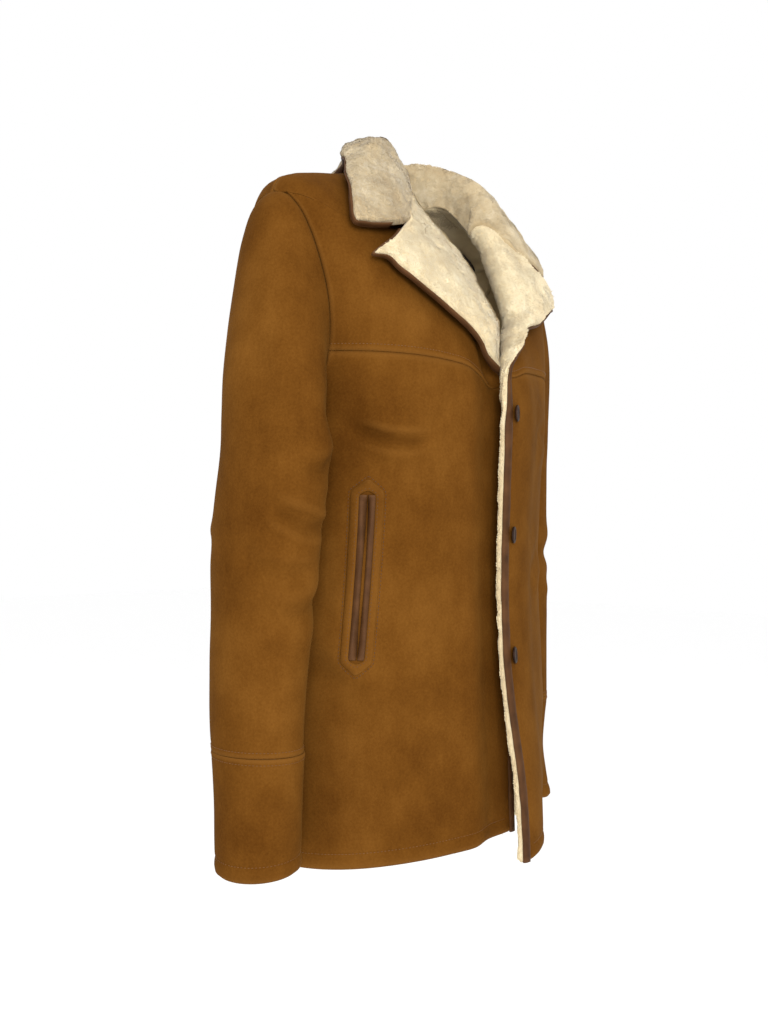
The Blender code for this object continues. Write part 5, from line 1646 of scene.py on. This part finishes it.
def fleece(name, *stops):
    """Sheep's wool, with painted shade making it deeper and warmer at the roots and on the ground
    between the tufts.
    """
    made = Finish(
        name, Roughness=0.92, Sheen_Weight=0.30, Sheen_Roughness=0.5,
        Sheen_Tint=(1.0, 0.94, 0.82, 1), Specular_IOR_Level=0.1,
    )
    height = made.add("ShaderNodeAttribute", "Fac", {"attribute_name": "height"})
    locks = made.noise(120.0, 3.0)
    clouds = made.noise(28.0, 2.0)
    shade = made.weigh((locks, 0.55), (clouds, 0.8))
    tips = made.ramp(shade, *zip((0.25, 0.55, 0.85), stops))
    # Painted shade: the roots, and the fur's ground, which has no height, are darker and warmer
    # than the tips.
    roots_painted_shade = made.mix(1.0, tips, (0.95, 0.91, 0.84, 1), "MULTIPLY")
    color = made.mix(made.math("POWER", height, 0.8), roots_painted_shade, tips)
    pile = made.noise(700.0, 3.0, rough=0.7)
    height = made.weigh((pile, 1.0), (locks, 0.8))
    return made.finish(color, None, height, bump=0.15, distance=0.0006)


def brown_leather():
    """Smooth brown leather, rubbed lighter on its fold."""
    made = Finish("brown_leather", Specular_IOR_Level=0.09)
    cells = made.add("ShaderNodeTexVoronoi", "Distance", Vector=made.coords, Scale=900.0)
    clouds = made.noise(60.0, 3.0)
    color = made.ramp(
        clouds,
        (0.30, (0.040, 0.0155, 0.0045)),
        (0.55, (0.064, 0.026, 0.0085)),
        (0.80, (0.092, 0.039, 0.014)),
    )
    rubbed = made.math("MULTIPLY", made.wear_and_shade(0.51, 0.60), 0.7)
    color = made.mix(rubbed, color, (0.112, 0.050, 0.019, 1))
    rough = made.scaled(clouds, 0.25, 0.50)
    height = made.weigh((cells, 1.0), (clouds, 0.6))
    return made.finish(color, rough, height, bump=0.25, distance=0.0004)


def horn():
    """Dark horn with lighter streaks."""
    made = Finish("dark_horn", Specular_IOR_Level=0.12)
    streaks = made.noise(220.0, 4.0, stretch=(1.0, 0.3, 0.25))
    color = made.ramp(
        streaks,
        (0.35, (0.010, 0.004, 0.002)),
        (0.60, (0.026, 0.010, 0.004)),
        (0.85, (0.064, 0.027, 0.010)),
    )
    rough = made.scaled(streaks, 0.2, 0.36)
    return made.finish(color, rough, streaks, bump=0.1, distance=0.0002)


def lining():
    """A dark twill."""
    made = Finish("taupe_lining", Roughness=0.62, Sheen_Weight=0.15, Specular_IOR_Level=0.3)
    twill = made.add(
        "ShaderNodeTexWave", "Fac", {"bands_direction": "DIAGONAL"},
        Vector=made.coords, Scale=420.0, Distortion=0.6, Detail=1.0,
    )
    clouds = made.noise(14.0, 3.0)
    shade = made.weigh((twill, 0.35), (clouds, 0.7))
    color = made.ramp(shade, (0.25, (0.055, 0.042, 0.038)), (0.75, (0.105, 0.085, 0.078)))
    return made.finish(color, None, twill, bump=0.25, distance=0.0003)


def thread(name, color):
    """Twisted thread, its strands lighter than the color in between."""
    made = Finish(name, Roughness=0.6)
    twist = made.noise(2500.0, 1.0)
    light = tuple(min(1.0, 1.5 * c) for c in color)
    shade = made.ramp(twist, (0.3, color), (0.7, light))
    return made.finish(shade, None, twist, bump=0.3, distance=0.0002)


FLOOR_PALE = ((0.0, 0.990), (1.0, 0.995))


def studio_floor():
    """A pale, even floor."""
    made = Finish("studio_floor", Roughness=0.9)
    color = made.ramp(made.noise(2.0), *((place, (pale,) * 3) for place, pale in FLOOR_PALE))
    return made.finish(color)


# ---------------------------------------------------------------- the coat's pieces


def declare(piece, node):
    """Hides the solid that a piece stands for."""
    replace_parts(piece, node)


def rounded_corner(grids, row, col):
    """Cuts back the sharp corner of a turned piece."""
    next_row = 1 if row == 0 else -2
    next_col = 1 if col == 0 else -2
    for grid in grids:
        corner = grid[row, col].copy()
        for beside_it in (grid[next_row, col], grid[row, next_col]):
            grid[row, col] += CORNER_CUT * (beside_it - corner)


def edge_trim(free):
    """How much of their length locks keep this far from an edge."""
    return EDGE_TRIM + (1 - EDGE_TRIM) * ease(free, *EDGE_TRIM_REACH)


def padded(grid, points):
    """A grid of numbers, its last column repeated to the size of these points."""
    return np.pad(grid, ((0, 0), (0, points.shape[1] - grid.shape[1])), mode="edge")


def tapered(grids, weight):
    """Thins the end edge, bringing the leather towards the fur there."""
    leather, fur = grids
    for col, share in ((-1, 1.0), (-2, 0.4)):
        leather[:, col] += EDGE_TAPER * share * weight[:, None] * (fur[:, col] - leather[:, col])


def swollen(grids, weight):
    """Lets the fur stand out past the leather along the end edge."""
    leather, fur = grids
    outward = unit(leather[:, -1] - leather[:, -2])
    fur[:, -1] += outward * EDGE_SWELL * weight[:, None]


def sewn(wall, node, finishes):
    """Puts a tan panel in the place of its solid."""
    made = wall.build(finishes["suede"], finishes["fur"])
    declare(made, node)


def make_front(side, piece, grids, finishes):
    """A yoke or a lower front. Past its roll the fur shows, and is given tufts."""
    name = f"front_{'left' if side == LEFT else 'right'}"
    yoke = piece == "yoke"
    wall = Wall(f"cloth_{name}_{piece}", grids, YOKE_STEP if yoke else CLOTH_STEP)
    body = 1 - ease(wall.cols, FRONT_COLUMNS - 0.5, FRONT_COLUMNS + 0.5)[None, :]
    rows, top = wall.rows[:, None], wall.far["top"]
    wall.crease(name)
    wall.ease_unevenly(BODY_LUMPS, HANG_SEEDS["front"] + side)
    if yoke:
        wall.seam("bottom", *YOKE_SEAM, body)
        wall.sew_line("bottom", YOKE_GROOVE, SEAM_DEEP, body)
        arm = ease(rows, NECK_ROWS - 0.8, NECK_ROWS)
    else:
        wall.seam("top", *YOKE_UNDER_SEAM, body)
        wall.sew_line("bottom", HEM_STITCH, HEM_DEEP, body)
        arm = 1 - ease(rows, ARM_ROWS - 0.2, ARM_ROWS + 1.5)
        wall.raise_leather(HEM_HIGH * body * bell(wall.far["bottom"], *HEM_SWELL))
    wall.seam("start", *FRONT_SEAM, body * (SIDE_SHARE + (1 - SIDE_SHARE) * arm))
    wall.sew_line("start", BODY_STITCH, SEAM_DEEP, body * arm)
    wall.round_edges(["start", "bottom" if yoke else "top"], SEAM_ROUND)
    if not yoke:
        wall.round_hem()
    shows = ease(wall.cols, FRONT_COLUMNS - 0.6, FRONT_COLUMNS + 0.6)[None, :] + 0 * top
    lumps = fur_lumps(wall.fur, FUR_SEEDS["front"] + side) * ease(top, *LUMPS_START)
    wall.raise_fur(lumps * (HIDDEN_LUMPS + (1 - HIDDEN_LUMPS) * shows) - FUR_SINK * shows)
    wall.round_edges(["end", "top"] if yoke else ["end"], FRONT_FUR_ROUND, "fur")
    pocket = None if yoke else Pocket(wall, side)
    wall.face_fur()
    points, normals = with_rim(wall.fur, wall.into, wall.leather[:, -1:], FRONT_RIM)
    free = np.minimum(wall.far["end"], top if yoke else 1.0)
    keep = ease(top, *YOKE_FUR_START) if yoke else 1.0
    grids = points, normals, padded(shows * keep, points), padded(edge_trim(free), points)
    fur = tufts(f"fur_{name}_{piece}", *grids, finishes["fur"], seed=SEED + 3 * side)
    line, above = wall.line("bottom", BODY_STITCH if yoke else HEM_STITCH)
    keep = wall.cols < FRONT_COLUMNS
    finishes["tan_thread"].row(line[keep], above[keep])
    sewn(wall, f"{name}_{piece}", finishes)
    return wall, pocket


def make_back(grids, finishes):
    """The back. Tufts show above its lining and inside its hem."""
    wall = Wall("cloth_back", grids, BACK_STEP)
    top, bottom = wall.far["top"], wall.far["bottom"]
    wall.crease("back")
    wall.ease_unevenly(BODY_LUMPS, HANG_SEEDS["back"])
    for edge in ("start", "end"):
        wall.seam(edge, *BACK_SEAM)
        wall.sew_line(edge, BODY_STITCH, SEAM_DEEP)
    wall.sew_line("bottom", HEM_STITCH, HEM_DEEP)
    wall.round_edges(["start", "end"], SEAM_ROUND)
    wall.round_hem()
    wall.raise_fur(fur_lumps(wall.fur, FUR_SEEDS["back"]) * 0.7)
    wall.face_fur()
    neck = 1 - ease(top - LINING_DROP, *NECK_FUR_END)
    hem = (1 - ease(bottom, *HEM_FUR_END)) * ease(bottom, *HEM_FUR_START)
    weight = np.clip(neck + 0.7 * hem, 0, 1)
    grids = wall.fur, wall.into, weight, edge_trim(top)
    # The back's tufts inside its neck and hem take the darker copy of the fur: painted shade.
    fur = tufts("fur_back", *grids, finishes["collar_fur_painted_shade"], 0.6)
    finishes["tan_thread"].row(*wall.line("bottom", HEM_STITCH))
    sewn(wall, "back", finishes)


def make_sleeve(side, grids, cuff_grids, finishes):
    """A sleeve and its cuff. Tufts show inside the cuff's mouth."""
    name = "left" if side == LEFT else "right"
    wall = Wall(f"cloth_sleeve_{name}", grids, CLOTH_STEP, ring=True)
    wall.crease(f"sleeve_{name}")
    wall.ease_unevenly(SLEEVE_LUMPS, HANG_SEEDS["sleeve"] + side)
    wall.seam("top", *CAP_SEAM)
    wall.seam("bottom", *ARM_SEAM)
    wall.sew_line("bottom", CUFF_STITCH, SEAM_DEEP)
    wall.round_edges(["top", "bottom"], SEAM_ROUND)
    finishes["tan_thread"].row(*wall.line("bottom", CUFF_STITCH), closed=True)
    sewn(wall, f"sleeve_{name}", finishes)
    cuff = Wall(f"cloth_cuff_{name}", cuff_grids, CUFF_STEP, ring=True)
    bottom = cuff.far["bottom"]
    cuff.ease_unevenly(CUFF_LUMPS, HANG_SEEDS["cuff"] + side)
    cuff.seam("top", *CUFF_SEAM)
    cuff.sew_line("top", CUFF_STITCH, SEAM_DEEP)
    cuff.sew_line("bottom", HEM_STITCH, HEM_DEEP)
    cuff.raise_leather(CUFF_HEM_HIGH * bell(bottom, *HEM_SWELL))
    cuff.round_edges(["top"], SEAM_ROUND)
    cuff.round_hem()
    cuff.raise_fur(fur_lumps(cuff.fur, FUR_SEEDS["cuff"]) * 0.6)
    cuff.face_fur()
    mouth = (1 - ease(bottom, *CUFF_FUR_END)) * ease(bottom, *HEM_FUR_START)
    grids = cuff.fur, cuff.into, mouth, np.full_like(mouth, 0.8)
    fur = tufts(f"fur_cuff_{name}", *grids, finishes["fur"], 0.4)
    for edge, distance in (("top", CUFF_STITCH), ("bottom", HEM_STITCH)):
        finishes["tan_thread"].row(*cuff.line(edge, distance), closed=True)
    sewn(cuff, f"cuff_{name}", finishes)


def make_collar(fur, leather, finishes):
    """The collar's wall has its leather underneath, so its fur is on the upper side."""
    wall = Wall("cloth_collar", (leather, fur), FUR_STEP)
    top, free_edges = wall.far["top"], ["bottom", "start", "end"]
    lumps = fur_lumps(wall.fur, FUR_SEEDS["collar"]) * 1.1
    wall.raise_fur(lumps - FUR_SINK * (NECK_SINK + (1 - NECK_SINK) * ease(top, 0.0, 0.02)))
    wall.round_edges(free_edges, FUR_ROUND, "fur")
    wall.face_fur()
    face = flipped((wall.fur, wall.into, wall.leather[-1:]))
    points, normals = with_rim(*face, COLLAR_RIM)
    free = np.minimum.reduce([wall.far[edge] for edge in free_edges])
    shows = ease(top, *COLLAR_FUR_START)
    grids = points, normals, padded(shows.T, points), padded(edge_trim(free).T, points)
    # The collar's tufts and fur side take the darker copy of the fur: painted shade.
    tips = tufts("fur_collar", *grids, finishes["collar_fur_painted_shade"], seed=SEED + 9)
    made = wall.build(finishes["suede"], finishes["collar_fur_painted_shade"])
    declare(made, "collar")


def make_coat():
    """Makes every piece of the coat."""
    finishes = {
        "suede": suede(),
        "fur": fleece("cream_fur", *LAPEL_WOOL),
        # The collar's fur is a darker copy of the cream fur, its darkness painted shade.
        "collar_fur_painted_shade": fleece("collar_fur_painted_shade", *COLLAR_WOOL_PAINTED_SHADE),
        "brown": brown_leather(),
        "horn": horn(),
        "lining": lining(),
        "tan_thread": Thread(),
        "dark_thread": Thread(),
    }
    names = {RIGHT: "right", LEFT: "left"}
    yokes = {side: front_grid(side, "yoke") for side in names}
    lowers = {side: front_grid(side, "lower") for side in names}
    back = back_grid()
    collar = collar_grid(yokes, back)
    for side in names:
        rounded_corner(yokes[side], 0, -1)
        rows = len(yokes[side][0]), len(lowers[side][0])
        weight = lapel_weight(sum(rows) - 1)
        parts = weight[: rows[0]], weight[rows[0] - 1 :]
        for grids, part in zip((yokes[side], lowers[side]), parts):
            tapered(grids, part)
            swollen(grids, 1 - part)
    for col in (0, -1):
        rounded_corner(collar, -1, col)
    tapered(flipped(collar[::-1]), np.ones(collar[0].shape[1]))
    walls = {}
    for side, name in names.items():
        make_front(side, "yoke", yokes[side], finishes)
        walls[side], pocket = make_front(side, "lower", lowers[side], finishes)
        bound = front_binding(f"bound_front_{name}", yokes[side], lowers[side], finishes["brown"])
        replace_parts(bound, f"binding_front_{name}")
        for place, sign in (("front", 1), ("back", -1)):
            welt = pocket.welt(f"welt_{name}_{place}", sign, finishes["brown"])
            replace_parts(welt, f"pocket_welt_{name}_{place}")
        ring = pocket.frame(f"frame_{name}", finishes["suede"], finishes["dark_thread"])
        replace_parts(ring, f"pocket_frame_{name}")
        make_sleeve(side, sleeve_grid(side), cuff_grid(side), finishes)
    make_back(back, finishes)
    make_collar(*collar, finishes)
    bound = collar_binding(*collar, finishes["brown"])
    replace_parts(bound, "binding_collar")
    faces, _, _ = finer(lining_grid(back), LINING_STEP)
    cloth = Wall("cloth_back_lining", faces, LINING_STEP)
    cloth = cloth.build(finishes["lining"], finishes["lining"])
    declare(cloth, "back_lining")
    panel = Panel(walls[LEFT])
    x = EDGE_X + BUTTON_INSET - BUTTON_SHIFT
    for number, z in enumerate(BUTTON_HEIGHTS, 1):
        made = f"horn_button_{number}", panel, x, z, finishes["horn"], finishes["dark_thread"]
        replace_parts(button(*made), f"button_{number}")
    finishes["tan_thread"].build("stitches_tan", thread("tan_thread", TAN_THREAD))
    finishes["dark_thread"].build("stitches_dark", thread("dark_thread", DARK_THREAD))


# ---------------------------------------------------------------- the studio

CAMERA_TURN = np.radians(-50.0)
CAMERA_PITCH = np.radians(0.24)
CAMERA_ROLL = np.radians(0.75)
CAMERA_AIM = (-0.018, -0.008)
CAMERA_BACK = 1.326
CAMERA_HEIGHT = -0.37
FOCAL_PIXELS = 1155.0
PICTURE_HEIGHT = 1024.0
FLOOR_Z = -1.45
FLOOR_HALF = 12.0
COAT_MIDDLE = (0.0, -0.05, -0.35)
Light = namedtuple("Light", "name place aim size power")
LIGHTS = (
    Light("key", (-1.9, -1.95, 0.30), COAT_MIDDLE, 1.2, 62.0),
    Light("fill", (1.3, -2.3, 0.1), COAT_MIDDLE, 1.4, 2.5),
    Light("back", (1.2, 2.2, 0.6), COAT_MIDDLE, 1.4, 6.0),
    Light("top", (-0.3, -0.5, 1.5), (0.0, 0.0, -0.1), 0.8, 5.0),
)


def make_camera():
    """The camera at the photograph's angle."""
    data = bpy.data.cameras.new("camera")
    data.sensor_fit = "VERTICAL"
    data.sensor_height = 36.0
    data.lens = FOCAL_PIXELS / PICTURE_HEIGHT * data.sensor_height
    data.clip_start, data.clip_end = 0.05, 100.0
    back = np.array([np.sin(CAMERA_TURN), -np.cos(CAMERA_TURN), 0.0])
    place = np.array([*CAMERA_AIM, 0.0]) + back * CAMERA_BACK
    place[2] = CAMERA_HEIGHT
    ahead = -back * np.cos(CAMERA_PITCH) + np.array([0, 0, np.sin(CAMERA_PITCH)])
    right = unit(np.cross(ahead, [0, 0, 1.0]))
    up = np.cross(right, ahead)
    c, s = np.cos(CAMERA_ROLL), np.sin(CAMERA_ROLL)
    right, up = right * c + up * s, up * c - right * s
    bpy.context.scene.camera = placed("camera", data, [right, up, -ahead, place])


def soft_light(name, place, aim, size, power):
    """A square lamp that faces its aim."""
    data = bpy.data.lights.new(name, "AREA")
    data.size = size
    data.energy = power
    back = unit(np.array(place) - np.array(aim))
    right = unit(np.cross([0, 0, 1.0], back))
    placed(name, data, [right, np.cross(back, right), back, place])


def make_studio():
    """A white world, a pale floor and four lamps."""
    world = bpy.data.worlds.new("studio")
    world.use_nodes = True
    background = world.node_tree.nodes["Background"]
    background.inputs["Color"].default_value = (1.0, 1.0, 1.0, 1.0)
    background.inputs["Strength"].default_value = 1.0
    scene = bpy.context.scene
    scene.world = world
    scene.view_settings.view_transform = "Standard"
    mesh = bpy.data.meshes.new("floor")
    around = ((-1, -1), (1, -1), (1, 1), (-1, 1))
    corners = [(x * FLOOR_HALF, y * FLOOR_HALF, FLOOR_Z) for x, y in around]
    mesh.from_pydata(corners, [], [(0, 1, 2, 3)])
    mesh.materials.append(studio_floor())
    floor = placed("floor", mesh)
    for light in LIGHTS:
        soft_light(*light)


make_coat()
make_camera()
make_studio()
